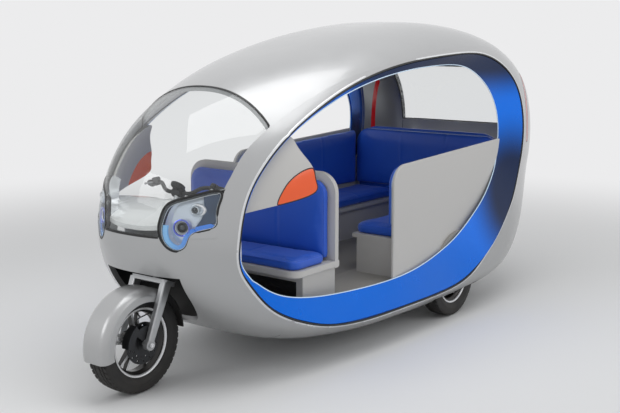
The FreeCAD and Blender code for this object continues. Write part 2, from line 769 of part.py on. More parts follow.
rear_axle = fused([half_axle, mirrored(half_axle), hanger, mirrored(hanger)]).removeSplitter()

# Steering head on top of the front wheel well
head_low = 662.0
head_high = 900.0
stem_radius = 17.0
plate_front_share = 2.2
plate_back_share = 3.2
head_y = on_axis(head_low).y
steering_head = axis_cylinder(head_radius, head_low, head_high)
head_plate = box(-head_radius * 3, head_radius * 3, head_y - head_radius * plate_front_share,
                 head_y + head_radius * plate_back_share, well_top + liner_wall, well_top + liner_wall * 2.5)
steering_head = steering_head.fuse(head_plate)
stem_bore = axis_cylinder(stem_radius + running_fit, well_top - liner_wall, body_height)
steering_head = largest(steering_head.cut(stem_bore))
wheel_well_liner = wheel_well_liner.cut(axis_cylinder(stem_radius + clear_gap, well_top / 2, head_high))

# Steering parts are drawn in a frame whose z runs up the steering axis and whose y runs back
wheel_back = -trail_offset * math.cos(rake)
wheel_up = -trail_offset * math.sin(rake)


def to_axis(shape):
    moved = shape.copy()
    moved.rotate(origin, x_axis, -math.degrees(rake))
    moved.translate(axis_foot)
    return moved


def leg_section(x_middle, x_half, y_half, corner, z):
    plate = box(x_middle - x_half, x_middle + x_half, wheel_back - y_half, wheel_back + y_half, z, z + corner)
    plate = rounded(plate, corner, lambda b: b.ZLength > corner / 2)
    outline = [f for f in plate.Faces if abs(f.CenterOfMass.z - z) < corner / 10]
    return outline[0].OuterWire


crown_height = 562.0
crown_half_thickness = 12.0
crown_overhang = 30.0
crown_corner = 26.0
leg_inner = 92.0
leg_half_low = 16.0
leg_half_high = 20.0
leg_depth_low = 21.0
leg_depth_high = 28.0
leg_corner = 8.0
hub_end_radius = 29.0
front_axle_radius = 10.0
axle_nut_radius = 15.0
axle_nut_length = 9.0
crown_up = (crown_height - wheel_radius) / math.cos(rake)
leg = Part.makeLoft([
    leg_section(leg_inner + leg_half_low, leg_half_low, leg_depth_low, leg_corner, wheel_up),
    leg_section(leg_inner + leg_half_high, leg_half_high, leg_depth_high, leg_corner, crown_up)], True, True)
leg_outer = leg_inner + leg_half_high * 2
crown = box(-leg_outer, leg_outer, wheel_back - leg_depth_high, crown_overhang,
            crown_up - crown_half_thickness, crown_up + crown_half_thickness)
crown = rounded(crown, crown_corner, lambda b: b.XLength < seat_gap and b.YLength < seat_gap)
bar_height = 1010.0
bar_up = (bar_height - wheel_radius) / math.cos(rake)
stem = Part.makeCylinder(stem_radius, bar_up - crown_up, Vec(0, 0, crown_up))
leg_middle = leg_inner + leg_half_low
hub_end = cylinder_x(hub_end_radius, leg_inner, leg_middle + leg_half_low, wheel_back, wheel_up)
nut_end = leg_middle + leg_half_low + axle_nut_length
axle_nut = cylinder_x(axle_nut_radius, leg_inner, nut_end, wheel_back, wheel_up)
front_axle = cylinder_x(front_axle_radius, -leg_middle, leg_middle, wheel_back, wheel_up)
fork = to_axis(fused([leg, mirrored(leg), hub_end, mirrored(hub_end), axle_nut, mirrored(axle_nut), crown,
                      front_axle, stem])).removeSplitter()


# Rings about the front axle, swept from an angle above the rear horizontal
def about_axle(face, start, sweep):
    ring = face.revolve(origin, x_axis, sweep)
    ring.rotate(origin, x_axis, -(90 - start))
    ring.translate(Vec(0, front_axle_y, wheel_radius))
    return ring


def sector(x_low, x_high, r_low, r_high, start, sweep):
    corners = [Vec(x_low, 0, r_low), Vec(x_high, 0, r_low), Vec(x_high, 0, r_high), Vec(x_low, 0, r_high)]
    return about_axle(Part.Face(Part.makePolygon(corners + [corners[0]])), start, sweep)


def arch_wire_points(half, low, high, corner):
    # a rounded hoop section from the left foot over the top to the right foot
    slope = corner * (1 - math.sqrt(0.5))
    return [Vec(-half, 0, low), Vec(-half, 0, high - corner), Vec(-half + slope, 0, high - slope),
            Vec(-half + corner, 0, high), Vec(half - corner, 0, high), Vec(half - slope, 0, high - slope),
            Vec(half, 0, high - corner), Vec(half, 0, low)]


fender_inner = 284.0
fender_wall = 6.0
fender_half = leg_inner - seat_gap
fender_drop = 64.0
fender_corner = 44.0
fender_start = 62.0
fender_sweep = 128.0
outer = arch_wire_points(fender_half, fender_inner - fender_drop, fender_inner + fender_wall, fender_corner)
inner = arch_wire_points(fender_half - fender_wall, fender_inner - fender_drop, fender_inner,
                         fender_corner - fender_wall)
fender_edges = []
for hoop in (outer, inner):
    fender_edges.append(Part.makeLine(hoop[0], hoop[1]))
    fender_edges.append(Part.Arc(hoop[1], hoop[2], hoop[3]).toShape())
    fender_edges.append(Part.makeLine(hoop[3], hoop[4]))
    fender_edges.append(Part.Arc(hoop[4], hoop[5], hoop[6]).toShape())
    fender_edges.append(Part.makeLine(hoop[6], hoop[7]))
fender_edges.append(Part.makeLine(outer[0], inner[0]))
fender_edges.append(Part.makeLine(outer[-1], inner[-1]))
fender_wire = Part.Wire(Part.__sortEdges__(fender_edges))
front_fender = about_axle(Part.Face(fender_wire), fender_start, fender_sweep)

flap_half = 72.0
flap_inner = 288.0
flap_wall = 6.0
flap_start = 4.0
mud_flap = sector(-flap_half, flap_half, flap_inner, flap_inner + flap_wall, flap_start,
                  fender_start - flap_start)

# Handlebar swept along a bent path, with grips
bar_radius = 11.0
bar_straight = 60.0
bar_reach = 330.0
bar_rise = 52.0
bar_sweep = 95.0
grip_radius = 17.0
grip_length = 118.0
clamp_radius = 26.0
clamp_half = 30.0
# Bends of the bar: shares of reach, sweep and rise
bend_shares = [(0.18, 0.0, 0.0), (0.45, 0.14, 0.80), (0.66, 0.46, 1.0), (1.0, 1.0, 1.0)]
bends = [Vec(bar_reach * a, bar_sweep * b, bar_up + bar_rise * c) for a, b, c in bend_shares]
bar_path = Part.BSplineCurve()
bar_path.interpolate(Points=bends, InitialTangent=x_axis, FinalTangent=(bends[-1] - bends[-2]).normalize())
bar_ring = Part.Wire([Part.makeCircle(bar_radius, bends[0], x_axis)])
bar_arm = Part.Wire([bar_path.toShape()]).makePipeShell([bar_ring], True, True)
bar_middle = cylinder_x(bar_radius, -bends[0].x, bends[0].x, 0, bar_up)
grip_line = (bends[-1] - bends[-2]).normalize()
grip = Part.makeCylinder(grip_radius, grip_length, bends[-1] - grip_line * grip_length, grip_line)
clamp = cylinder_x(clamp_radius, -clamp_half, clamp_half, 0, bar_up)
handlebar = fused([bar_middle, clamp, bar_arm, mirrored(bar_arm), grip, mirrored(grip)]).cut(stem)
handlebar = to_axis(largest(handlebar))

# Disc brake: caliper astride the disc on a torque plate at the axle
disc_radius = 112.0
disc_x = 60.0
disc_thickness = 5.0
disc_gap = 5.0
pad_outer = 118.0
caliper_inner = 82.0
caliper_outer = 126.0
caliper_wall = 12.0
caliper_start = 120.0
caliper_sweep = 60.0
plate_radius = 98.0
plate_start = 56.0
plate_sweep = 84.0
plate_thickness = 9.0
caliper_low = disc_x - disc_gap - caliper_wall
caliper_high = leg_inner - seat_gap
brake_caliper = sector(caliper_low, caliper_high, caliper_inner, caliper_outer, caliper_start, caliper_sweep)
slot_high = disc_x + disc_thickness + disc_gap
brake_caliper = brake_caliper.cut(sector(disc_x - disc_gap, slot_high, 0, pad_outer, 0, 360))
torque_plate = sector(caliper_high - plate_thickness, caliper_high, front_axle_radius * 2, plate_radius,
                      plate_start, plate_sweep)
brake_caliper = largest(brake_caliper.fuse(torque_plate).removeSplitter())

# Tyres and cast wheels
# Half sections of the tyres: shares of the half width, and of the wall height from the rim
front_tyre_shares = [(0.72, 0.0), (1.0, 0.46), (0.68, 1.0)]
rear_tyre_shares = [(0.82, 0.0), (0.97, 1.0)]


def tyre(width, section_shares, x_centre, y):
    height = wheel_radius - rim_radius
    right = [Vec(width / 2 * a, 0, rim_radius + height * b) for a, b in section_shares]
    left = [Vec(-p.x, 0, p.z) for p in reversed(right)]
    outline = right + left
    body = Part.Face(Part.makePolygon(outline + [outline[0]])).revolve(origin, x_axis, 360)
    body.translate(Vec(x_centre, y, wheel_radius))
    return body


bead_share = 0.72
well_depth = 16.0
spoke_count = 10
spoke_pair_turn = 9.0
spoke_root_half = 9.0
spoke_tip_half = 6.0
spoke_root_depth = 20.0
spoke_tip_depth = 12.0
# Half section of the rim: shares of the half width, and of the well depth below the seat
rim_shares = [(1.0, 0.0), (0.72, 0.0), (0.42, 1.0)]


def spoke(turn):
    low = box(-spoke_root_depth, spoke_root_depth, -spoke_root_half, spoke_root_half, 0, rim_wall)
    high = box(-spoke_tip_depth, spoke_tip_depth, -spoke_tip_half, spoke_tip_half, 0, rim_wall)
    low.translate(Vec(0, 0, hub_radius / 2))
    high.translate(Vec(0, 0, rim_radius - well_depth - rim_wall * 1.5))
    faces = []
    for block, height in ((low, hub_radius / 2), (high, rim_radius - well_depth - rim_wall / 2)):
        flat = [f for f in block.Faces if abs(f.CenterOfMass.z - height) < seat_gap]
        faces.append(flat[0].OuterWire)
    arm = Part.makeLoft(faces, True, True)
    arm.rotate(origin, x_axis, turn)
    return arm


def rim(width, x_centre, y, bore, hub_half):
    half = width / 2 * bead_share
    seat = rim_radius - seat_gap / 2
    right = [Vec(half * a, 0, seat - well_depth * b) for a, b in rim_shares]
    outer_line = right + [Vec(-p.x, 0, p.z) for p in reversed(right)]
    inner_line = [Vec(p.x, 0, p.z - rim_wall) for p in reversed(outer_line)]
    outline = outer_line + inner_line
    parts = [Part.Face(Part.makePolygon(outline + [outline[0]])).revolve(origin, x_axis, 360)]
    parts.append(cylinder_x(hub_radius, -hub_half, hub_half, 0, 0))
    for i in range(spoke_count):
        pair = 720.0 / spoke_count * (i // 2)
        parts.append(spoke(pair + (spoke_pair_turn if i % 2 else -spoke_pair_turn)))
    result = fused(parts).removeSplitter()
    result = result.cut(cylinder_x(bore + running_fit, -width, width, 0, 0))
    result.translate(Vec(x_centre, y, wheel_radius))
    return result


front_tyre = tyre(front_tyre_width, front_tyre_shares, 0.0, front_axle_y)
front_rim = rim(front_tyre_width, 0.0, front_axle_y, front_axle_radius, front_tyre_width / 2)
vent_radius = 5.0
vent_count = 14
# Rings of vents in the disc: shares of its radius
vent_shares = [0.66, 0.86]
disc = cylinder_x(disc_radius, disc_x, disc_x + disc_thickness, front_axle_y, wheel_radius)
disc = disc.cut(cylinder_x(front_axle_radius + running_fit, 0, disc_x * 2, front_axle_y, wheel_radius))
vents = []
for ring, share in enumerate(vent_shares):
    for i in range(vent_count):
        turn = math.radians(360.0 / vent_count * (i + ring / 2))
        vent_y = front_axle_y + disc_radius * share * math.cos(turn)
        vent_z = wheel_radius + disc_radius * share * math.sin(turn)
        vents.append(cylinder_x(vent_radius, 0, disc_x * 2, vent_y, vent_z))
disc = disc.cut(Part.makeCompound(vents))
front_rim = front_rim.fuse(disc).removeSplitter()
rear_tyre_left = tyre(tyre_width, rear_tyre_shares, rear_track_half, rear_axle_y)
rear_rim_left = rim(tyre_width, rear_track_half, rear_axle_y, axle_radius, hub_radius)

save(wheel_well_liner, "wheel_well_liner")
save(floor_pan, "floor_pan")
save(rear_bulkhead, "rear_bulkhead")
save(driver_seat_shell, "driver_seat_shell")
save(driver_cushion, "driver_cushion")
save(driver_backrest, "driver_backrest")
save(dashboard, "dashboard")
save(chassis_frame, "chassis_frame")
save(battery_pack, "battery_pack")
save(rear_axle, "rear_axle")
save(steering_head, "steering_head")
save(fork, "fork")
save(front_fender, "front_fender")
save(mud_flap, "mud_flap")
save(handlebar, "handlebar")
save(brake_caliper, "brake_caliper")
save(front_tyre, "front_tyre")
save(front_rim, "front_rim")
for shape, name in (
        (side_panel_left, "side_panel"), (bench_left, "bench"), (bench_cushion_left, "bench_cushion"),
        (lamp_unit, "lamp_unit"), (wing_left, "wing_panel"), (indicator_left, "indicator"),
        (rear_tyre_left, "rear_tyre"), (rear_rim_left, "rear_rim")):
    save(shape, name + "_left")
    save(mirrored(shape), name + "_right")
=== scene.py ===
import bpy
import bmesh
import json
import math
from mathutils import Matrix, Vector
from mathutils.bvhtree import BVHTree


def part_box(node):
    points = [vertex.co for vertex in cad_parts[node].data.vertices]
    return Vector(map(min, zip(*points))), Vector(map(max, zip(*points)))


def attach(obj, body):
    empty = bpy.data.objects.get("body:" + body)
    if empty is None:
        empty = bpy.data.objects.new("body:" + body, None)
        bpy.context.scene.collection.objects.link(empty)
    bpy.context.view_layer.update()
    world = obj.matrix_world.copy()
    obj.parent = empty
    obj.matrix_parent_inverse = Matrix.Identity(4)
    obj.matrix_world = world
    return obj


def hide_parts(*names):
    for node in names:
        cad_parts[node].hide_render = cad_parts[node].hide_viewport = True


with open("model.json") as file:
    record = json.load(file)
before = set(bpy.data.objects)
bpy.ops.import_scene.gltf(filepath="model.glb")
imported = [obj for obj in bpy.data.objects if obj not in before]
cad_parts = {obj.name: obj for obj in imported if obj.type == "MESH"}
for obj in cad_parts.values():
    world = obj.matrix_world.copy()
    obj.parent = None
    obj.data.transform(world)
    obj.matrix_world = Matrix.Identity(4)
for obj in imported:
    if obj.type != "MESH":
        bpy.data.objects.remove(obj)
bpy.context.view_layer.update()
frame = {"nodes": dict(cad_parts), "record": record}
scene = bpy.context.scene
nodes = frame["nodes"]
sides = (("left", 1), ("right", -1))
print("frame loaded")

# finishes a user may want to change, as sRGB hex
finish = {
    "silver": "#b2b3b4",
    "hoodWhite": "#eceded",
    "blue": "#0074ee",
    "vinyl": "#1a58ca",
    "moulding": "#c6c5c3",
    "black": "#141517",
    "amber": "#ea5408",
    "red": "#b01018",
}
# what every layered surface shares: road dust by height in metres, wear by the slow noise, and bump
surface = {"ior": 1.5, "dust": "#7a7064", "dustFull": 0.02, "dustGone": 0.50, "dustSpotMm": 60.0,
           "dustDetail": 9.0, "slowDetail": 6.0, "wearFrom": 0.3, "wearTo": 0.7, "glossier": 0.04,
           "duller": 0.05, "grainDetail": 3.0, "bump": 0.5, "bevelRays": 4}
# clear sheets: how rough, and how much they mirror head-on and at a grazing angle
clear = {"rough": 0.01, "smearMm": 90.0, "smearDetail": 5.0, "smearFrom": 0.35, "smearTo": 0.75, "smeared": 3,
         "rise": 5.0, "grazing": 0.7, "headOn": 0.035}
# painted reflection: the candy blue is mixed towards near black over the top of the opening, and round a point
# at its lower rear, where the paint would mirror dark surroundings
paintedDarkReflection = {"colour": "#030812", "topFrom": 1.38, "topTo": 1.62, "middle": (0.0, 1.36, 0.74), "edge": 0.60,
        "core": 0.22, "most": 0.93}
# the light guide is pale at the nose and deep blue towards the side
guideShade = {"pale": "#9ad4fb", "deepFrom": 0.34, "paleTo": 0.24}


def toLinear(text):
    parts = [int(text[i:i + 2], 16) / 255 for i in (1, 3, 5)]
    return [p / 12.92 if p <= 0.04045 else ((p + 0.055) / 1.055) ** 2.4 for p in parts] + [1.0]


def perMillimetre(size):
    # scale of a noise texture whose features are this many millimetres apart
    return 1000.0 / size


def addNode(tree, kind, settings=None, **links):
    # links: a socket name, or i0, i1 ... for a socket's number, with a value or an output socket
    node = tree.nodes.new(kind)
    for key, value in (settings or {}).items():
        setattr(node, key, value)
    for key, value in links.items():
        numbered = key[0] == "i" and key[1:].isdigit()
        socket = node.inputs[int(key[1:])] if numbered else node.inputs[key.replace("_", " ")]
        if isinstance(value, bpy.types.NodeSocket):
            tree.links.new(value, socket)
        else:
            socket.default_value = value
    return node


def addMath(tree, operation, *values):
    links = {"i" + str(i): value for i, value in enumerate(values)}
    return addNode(tree, "ShaderNodeMath", {"operation": operation}, **links).outputs[0]


def addRange(tree, value, *limits, kind="LINEAR"):
    # limits: from and to of the value, then from and to of the result where it isn't 0 to 1
    links = {"i" + str(i + 1): limit for i, limit in enumerate(limits)}
    return addNode(tree, "ShaderNodeMapRange", {"interpolation_type": kind}, i0=value, **links).outputs[0]


def addNoise(tree, place, sizeMm, detail):
    noise = addNode(tree, "ShaderNodeTexNoise", Scale=perMillimetre(sizeMm), Detail=detail, Vector=place)
    return noise.outputs["Fac"]


def addPlace(tree):
    return addNode(tree, "ShaderNodeTexCoord").outputs["Object"]


def along(tree, place, axis):
    return addNode(tree, "ShaderNodeSeparateXYZ", Vector=place).outputs[axis]


def colourMix(tree, factor, first, second):
    mix = addNode(tree, "ShaderNodeMix", {"data_type": "RGBA"}, i0=factor, i6=first, i7=second)
    return mix.outputs[2]


def emptyMaterial(name):
    material = bpy.data.materials.new(name)
    material.use_nodes = True
    tree = material.node_tree
    tree.nodes.clear()
    return material, tree, addNode(tree, "ShaderNodeOutputMaterial")


def surfaceMaterial(name, base, rough, metal=0.0, coat=0.0, coatRough=0.05, sheen=0.0, mottle=0.03,
                    mottleMm=160.0, grainMm=0.0, grainDepth=0.1, edgeMm=1.2, dirt=0.0, glow=0.0):
    # one layered surface: base colour with slow variation, road dust from below, fine grain and soft edges
    material, tree, out = emptyMaterial(name)
    place = addPlace(tree)
    colour = toLinear(base)
    slow = addNoise(tree, place, mottleMm, surface["slowDetail"])
    low = [c * (1 - mottle) for c in colour[:3]] + [1.0]
    high = [min(1.0, c * (1 + mottle)) for c in colour[:3]] + [1.0]
    shown = colourMix(tree, slow, low, high)
    if dirt > 0:
        fade = addRange(tree, along(tree, place, "Z"), surface["dustFull"], surface["dustGone"], dirt, 0.0)
        spots = addNoise(tree, place, surface["dustSpotMm"], surface["dustDetail"])
        shown = colourMix(tree, addMath(tree, "MULTIPLY", fade, spots), shown, toLinear(surface["dust"]))
    shader = addNode(tree, "ShaderNodeBsdfPrincipled", Metallic=metal, IOR=surface["ior"], Coat_Weight=coat,
                     Coat_Roughness=coatRough, Sheen_Weight=sheen, Base_Color=shown)
    wear = addRange(tree, slow, surface["wearFrom"], surface["wearTo"], max(0.0, rough - surface["glossier"]),
                    min(1.0, rough + surface["duller"]))
    tree.links.new(wear, shader.inputs["Roughness"])
    if glow > 0:
        shader.inputs["Emission Color"].default_value = colour
        shader.inputs["Emission Strength"].default_value = glow
    soft = addNode(tree, "ShaderNodeBevel", {"samples": surface["bevelRays"]}, Radius=edgeMm / 1000.0)
    normal = soft.outputs[0]
    if grainMm > 0:
        fine = addNoise(tree, place, grainMm, surface["grainDetail"])
        bump = addNode(tree, "ShaderNodeBump", Strength=surface["bump"], Distance=grainDepth / 1000.0,
                       Height=fine, Normal=normal)
        normal = bump.outputs[0]
    tree.links.new(normal, shader.inputs["Normal"])
    tree.links.new(shader.outputs[0], out.inputs[0])
    return material


def clearMaterial(name, tint):
    # thin clear sheet: light goes straight through and the rest mirrors by the angle
    material, tree, out = emptyMaterial(name)
    smear = addNoise(tree, addPlace(tree), clear["smearMm"], clear["smearDetail"])
    haze = addRange(tree, smear, clear["smearFrom"], clear["smearTo"], clear["rough"],
                    clear["rough"] * clear["smeared"])
    through = addNode(tree, "ShaderNodeBsdfTransparent", Color=toLinear(tint))
    mirror = addNode(tree, "ShaderNodeBsdfGlossy", Roughness=haze)
    # the mirror's share rises from head-on to grazing, the same on both sides of the sheet
    facing = addNode(tree, "ShaderNodeLayerWeight", Blend=0.5).outputs["Facing"]
    rise = addMath(tree, "POWER", facing, clear["rise"])
    share = addMath(tree, "MULTIPLY_ADD", rise, clear["grazing"], clear["headOn"])
    mix = addNode(tree, "ShaderNodeMixShader", i0=share, i1=through.outputs[0], i2=mirror.outputs[0])
    tree.links.new(mix.outputs[0], out.inputs[0])
    return material


# each entry: a finish, with the record's slot or a name of its own
materials = {
    # sprayed satin clear coat over silver base: pale, with a soft broad highlight
    "body_paint": surfaceMaterial("satinSilverPaint", finish["silver"], 0.32, metal=0.55, coat=0.6,
                                  coatRough=0.10, mottle=0.01, grainMm=0.9, grainDepth=0.01, dirt=0.22),
    # gloss lacquer over white gel coat on the hood
    "hood_paint": surfaceMaterial("whiteHoodLacquer", finish["hoodWhite"], 0.25, coat=0.8, coatRough=0.04,
                                  mottle=0.008),
    # candy blue lacquer over a metal flake base: deep where it mirrors dark things, with a painted dark
    # reflection mixed into its colour by shadeBetween
    "blue_paint": surfaceMaterial("candyBlueLacquer", finish["blue"], 0.24, metal=0.92, coat=0.3,
                                  coatRough=0.02, mottle=0.02, grainMm=1.2, grainDepth=0.01),
    # injection moulded ABS with a fine leather grain
    "inner_panel": surfaceMaterial("mouldedAbs", finish["moulding"], 0.46, grainMm=2.2, grainDepth=0.12,
                                   edgeMm=2.5, dirt=0.15, mottle=0.015),
    # coated vinyl cloth, a little sheen and a fine grain
    "upholstery": surfaceMaterial("coatedVinyl", finish["vinyl"], 0.42, grainMm=3.0, grainDepth=0.25,
                                  sheen=0.12, mottle=0.05, edgeMm=2.0),
    "dark_plastic": surfaceMaterial("grainedPolypropylene", finish["black"], 0.52, grainMm=2.5,
                                    grainDepth=0.15, dirt=0.35),
    "tyre_rubber": surfaceMaterial("mouldedRubber", "#17181a", 0.68, grainMm=2.0, grainDepth=0.15, dirt=0.16,
                                   edgeMm=0.8),
    "rim_alloy": surfaceMaterial("blackCastAlloy", "#1b1c1e", 0.34, metal=0.5, coat=0.3, dirt=0.2),
    "fork_metal": surfaceMaterial("silverPaintedSteel", "#b3b5b7", 0.34, metal=0.75, coat=0.3, grainMm=1.0,
                                  grainDepth=0.02, dirt=0.2, edgeMm=2.0),
    "frame_steel": surfaceMaterial("blackPaintedSteel", "#1c1d1f", 0.48, metal=0.3, grainMm=1.5,
                                   grainDepth=0.05, dirt=0.4),
    "battery_case": surfaceMaterial("powderCoatedBox", "#33363a", 0.55, grainMm=1.5, grainDepth=0.08,
                                    dirt=0.4),
    "floor_mat": surfaceMaterial("vinylFloorMat", "#94928e", 0.62, grainMm=4.0, grainDepth=0.3, dirt=0.25),
    "lamp_red": surfaceMaterial("redLampLens", finish["red"], 0.12, coat=1.0, glow=0.25, mottle=0.05),
    "lamp_amber": surfaceMaterial("amberLampLens", finish["amber"], 0.16, coat=0.5, glow=0.10, mottle=0.05),
    "lamp_housing": surfaceMaterial("aluminisedReflector", "#eceff2", 0.16, metal=0.45, coat=0.6, mottle=0.01,
                                    glow=0.10),
    "clear_glazing": clearMaterial("clearPolycarbonate", "#f9fafa"),
    "lamp_clear": clearMaterial("clearLampCover", "#f6f9fb"),
    "seal": surfaceMaterial("sealRubber", "#0c0d0e", 0.45, grainMm=1.5, grainDepth=0.05, edgeMm=0.5),
    "lip": surfaceMaterial("paleLipMoulding", "#dcdee0", 0.28, metal=0.3, coat=0.5, edgeMm=0.5),
    # ice blue trim; its glow is a painted highlight along the opening's inner edge
    "lightLine": surfaceMaterial("iceBlueTrimPaintedHighlight", "#cfe6fa", 0.25, coat=0.6, glow=0.12, edgeMm=0.5),
    # dark strips on the panel joins: painted shadow of the panel gaps
    "shadowGap": surfaceMaterial("paintedGapShadow", "#26282b", 0.6, edgeMm=0.4),
    # turned aluminium face under clear lacquer
    "machined": surfaceMaterial("turnedAluminium", "#e4e5e7", 0.30, metal=0.5, coat=0.4, grainMm=0.6,
                                grainDepth=0.01, edgeMm=0.5),
    "discSteel": surfaceMaterial("oiledDiscSteel", "#3a3b3d", 0.38, metal=0.8, grainMm=0.8, grainDepth=0.02,
                                 edgeMm=0.4),
    # gloss black lamp frame, chromed parts and tinted glass
    "lampBlack": surfaceMaterial("glossBlackFrame", "#0b0c0e", 0.18, coat=0.8, edgeMm=0.5),
    "violetChrome": surfaceMaterial("violetChrome", "#6a74dc", 0.12, metal=1.0, coat=1.0, edgeMm=0.4),
    "darkLens": surfaceMaterial("smokedGlassLens", "#0a0d14", 0.05, coat=1.0, coatRough=0.01, edgeMm=0.3),
    "lightGuide": surfaceMaterial("blueLightGuide", "#2f86ee", 0.15, coat=1.0, glow=0.12, mottle=0.02,
                                  edgeMm=0.5),
    "switchPlastic": surfaceMaterial("paleSwitchPlastic", "#c9ccd0", 0.4, edgeMm=0.4),
    "lampMesh": surfaceMaterial("greyBlueBacking", "#46566e", 0.5, edgeMm=0.5),
    "lampMeshRib": surfaceMaterial("greyBlueMesh", "#7f92ad", 0.3, metal=0.4, edgeMm=0.2),
    # welt cords and sewing thread of the pads
    "piping": surfaceMaterial("vinylPiping", "#2a62d8", 0.38, sheen=0.1, edgeMm=0.3),
    "palePiping": surfaceMaterial("palePiping", "#a9c0ea", 0.4, edgeMm=0.3),
    "thread": surfaceMaterial("polyesterThread", "#6d93e6", 0.6, edgeMm=0.2),
}


def shadeBetween(finishName, second, build):
    # mixes the finish's base colour with a second one by a factor that build makes from the place
    tree = materials[finishName].node_tree
    shader = [n for n in tree.nodes if n.type == "BSDF_PRINCIPLED"][0]
    first = shader.inputs["Base Color"].links[0].from_socket
    factor = build(tree, addPlace(tree))
    tree.links.new(colourMix(tree, factor, first, toLinear(second)), shader.inputs["Base Color"])


def byHeightAndBlob(tree, place):
    top = addRange(tree, along(tree, place, "Z"), paintedDarkReflection["topFrom"], paintedDarkReflection["topTo"], kind="SMOOTHSTEP")
    flat = addNode(tree, "ShaderNodeVectorMath", {"operation": "MULTIPLY"}, i0=place, i1=(0.0, 1.0, 1.0))
    away = addNode(tree, "ShaderNodeVectorMath", {"operation": "DISTANCE"}, i0=flat.outputs[0],
                   i1=paintedDarkReflection["middle"])
    low = addRange(tree, away.outputs["Value"], paintedDarkReflection["edge"], paintedDarkReflection["core"], kind="SMOOTHSTEP")
    return addMath(tree, "MULTIPLY", addMath(tree, "MAXIMUM", top, low), paintedDarkReflection["most"])


def byDistanceAcross(tree, place):
    across = addMath(tree, "ABSOLUTE", along(tree, place, "X"))
    return addRange(tree, across, guideShade["deepFrom"], guideShade["paleTo"])


# painted reflection: dark surroundings mirrored in the blue paint, put into its colour by height and round a
# point
shadeBetween("blue_paint", paintedDarkReflection["colour"], byHeightAndBlob)
shadeBetween("lightGuide", guideShade["pale"], byDistanceAcross)
# nodes whose finish is one that only this script has, in place of their record slot's finish
slotOf = {row["node"]: row["material_slot"] for row in frame["record"]["subparts"]}
ownFinish = {"dashboard": "hood_paint", "brake_caliper": "discSteel"}
for name, obj in nodes.items():
    obj.data.materials.clear()
    obj.data.materials.append(materials[ownFinish.get(name, slotOf[name])])
print("finishes made")


def newObject(name, data):
    obj = bpy.data.objects.new(name, data)
    scene.collection.objects.link(obj)
    return obj


def meshOf(name, bm):
    mesh = bpy.data.meshes.new(name)
    bm.to_mesh(mesh)
    bm.free()
    return mesh


def shadeByAngle(mesh, angle):
    mesh.shade_smooth()
    bm = bmesh.new()
    bm.from_mesh(mesh)
    for edge in bm.edges:
        edge.smooth = len(edge.link_faces) == 2 and edge.calc_face_angle(0) < angle
    bm.to_mesh(mesh)
    bm.free()


def addPiece(name, bm, finishName, body="body", angle=0.6):
    mesh = meshOf(name, bm)
    obj = newObject(name, mesh)
    mesh.materials.append(materials[finishName])
    shadeByAngle(mesh, angle)
    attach(obj, body)
    return obj


def meshFrom(points, faces):
    bm = bmesh.new()
    made = [bm.verts.new(p) for p in points]
    for face in faces:
        bm.faces.new([made[i] for i in face])
    return bm


def addWall(obj, thickness):
    # the sheet grows inwards from its drawn face
    wall = obj.modifiers.new("wall", "SOLIDIFY")
    wall.thickness = thickness
    wall.offset = -1.0


# corners closer than weld are joined, and a length below tiny counts as none
weld = 2e-5
tiny = 1e-6
# least cosine between a face's normal and the way out: for edge rows, then for sheets and the skin under trim
edgeLeast = 0.45
skinLeast = 0.2
zAxis = Vector((0, 0, 1))


def mergedCopy(node):
    bm = bmesh.new()
    bm.from_mesh(nodes[node].data)
    bmesh.ops.remove_doubles(bm, verts=bm.verts, dist=weld)
    bm.normal_update()
    return bm


# the body is close to an egg round this middle
hull = {"middle": Vector((0.0, -0.066, 0.95)), "reach": Vector((0.75, 1.755, 0.90))}


def outward(point):
    # direction out of the egg-shaped body at a point
    step = point - hull["middle"]
    return Vector([s / r ** 2 for s, r in zip(step, hull["reach"])]).normalized()


def skinFaces(bm, least=edgeLeast):
    smallest = 1e-10
    shown = [f for f in bm.faces if f.calc_area() > smallest]
    return [f for f in shown if f.normal.dot(outward(f.calc_center_median())) > least]


def borderLoops(faces, shortest=0.2):
    # closed rows of border corners round a patch of faces, each with the patch's normal there
    chosen = set(faces)
    follow = {}
    for face in faces:
        for loop in face.loops:
            if sum(f in chosen for f in loop.edge.link_faces) == 1:
                follow.setdefault(loop.vert, []).append(loop.link_loop_next.vert)
    result = []
    while follow:
        start = next(iter(follow))
        row = [start]
        while True:
            options = follow.get(row[-1])
            if not options:
                break
            after = options.pop()
            if not options:
                del follow[row[-1]]
            if after is start:
                break
            row.append(after)
        length = sum((row[i].co - row[i - 1].co).length for i in range(len(row)))
        if length > shortest and len(row) > 3:
            normals = []
            for vert in row:
                total = Vector((0, 0, 0))
                for face in vert.link_faces:
                    if face in chosen:
                        total += face.normal * face.calc_area()
                normals.append(total.normalized())
            result.append(([v.co.copy() for v in row], normals, length))
    result.sort(key=lambda r: -r[2])
    return result


def eased(row):
    # one round of smoothing along a closed row
    count = len(row)
    return [row[i] * 0.5 + (row[i - 1] + row[(i + 1) % count]) * 0.25 for i in range(count)]


def evenRow(points, normals, spacing, rounds=2):
    # the same closed row at an even spacing, with its small steps smoothed out
    lengths = [(points[(i + 1) % len(points)] - points[i]).length for i in range(len(points))]
    total = sum(lengths)
    fewest, shortestLeg = 8, 1e-9
    count = max(fewest, round(total / spacing))
    newPoints, newNormals = [], []
    leg, used = 0, 0.0
    for k in range(count):
        target = total * k / count
        while used + lengths[leg] < target and leg < len(points) - 1:
            used += lengths[leg]
            leg += 1
        share = (target - used) / max(lengths[leg], shortestLeg)
        following = (leg + 1) % len(points)
        newPoints.append(points[leg].lerp(points[following], share))
        newNormals.append(normals[leg].lerp(normals[following], share))
    for turn in range(rounds):
        newPoints = eased(newPoints)
        newNormals = [n.normalized() for n in eased(newNormals)]
    return newPoints, newNormals


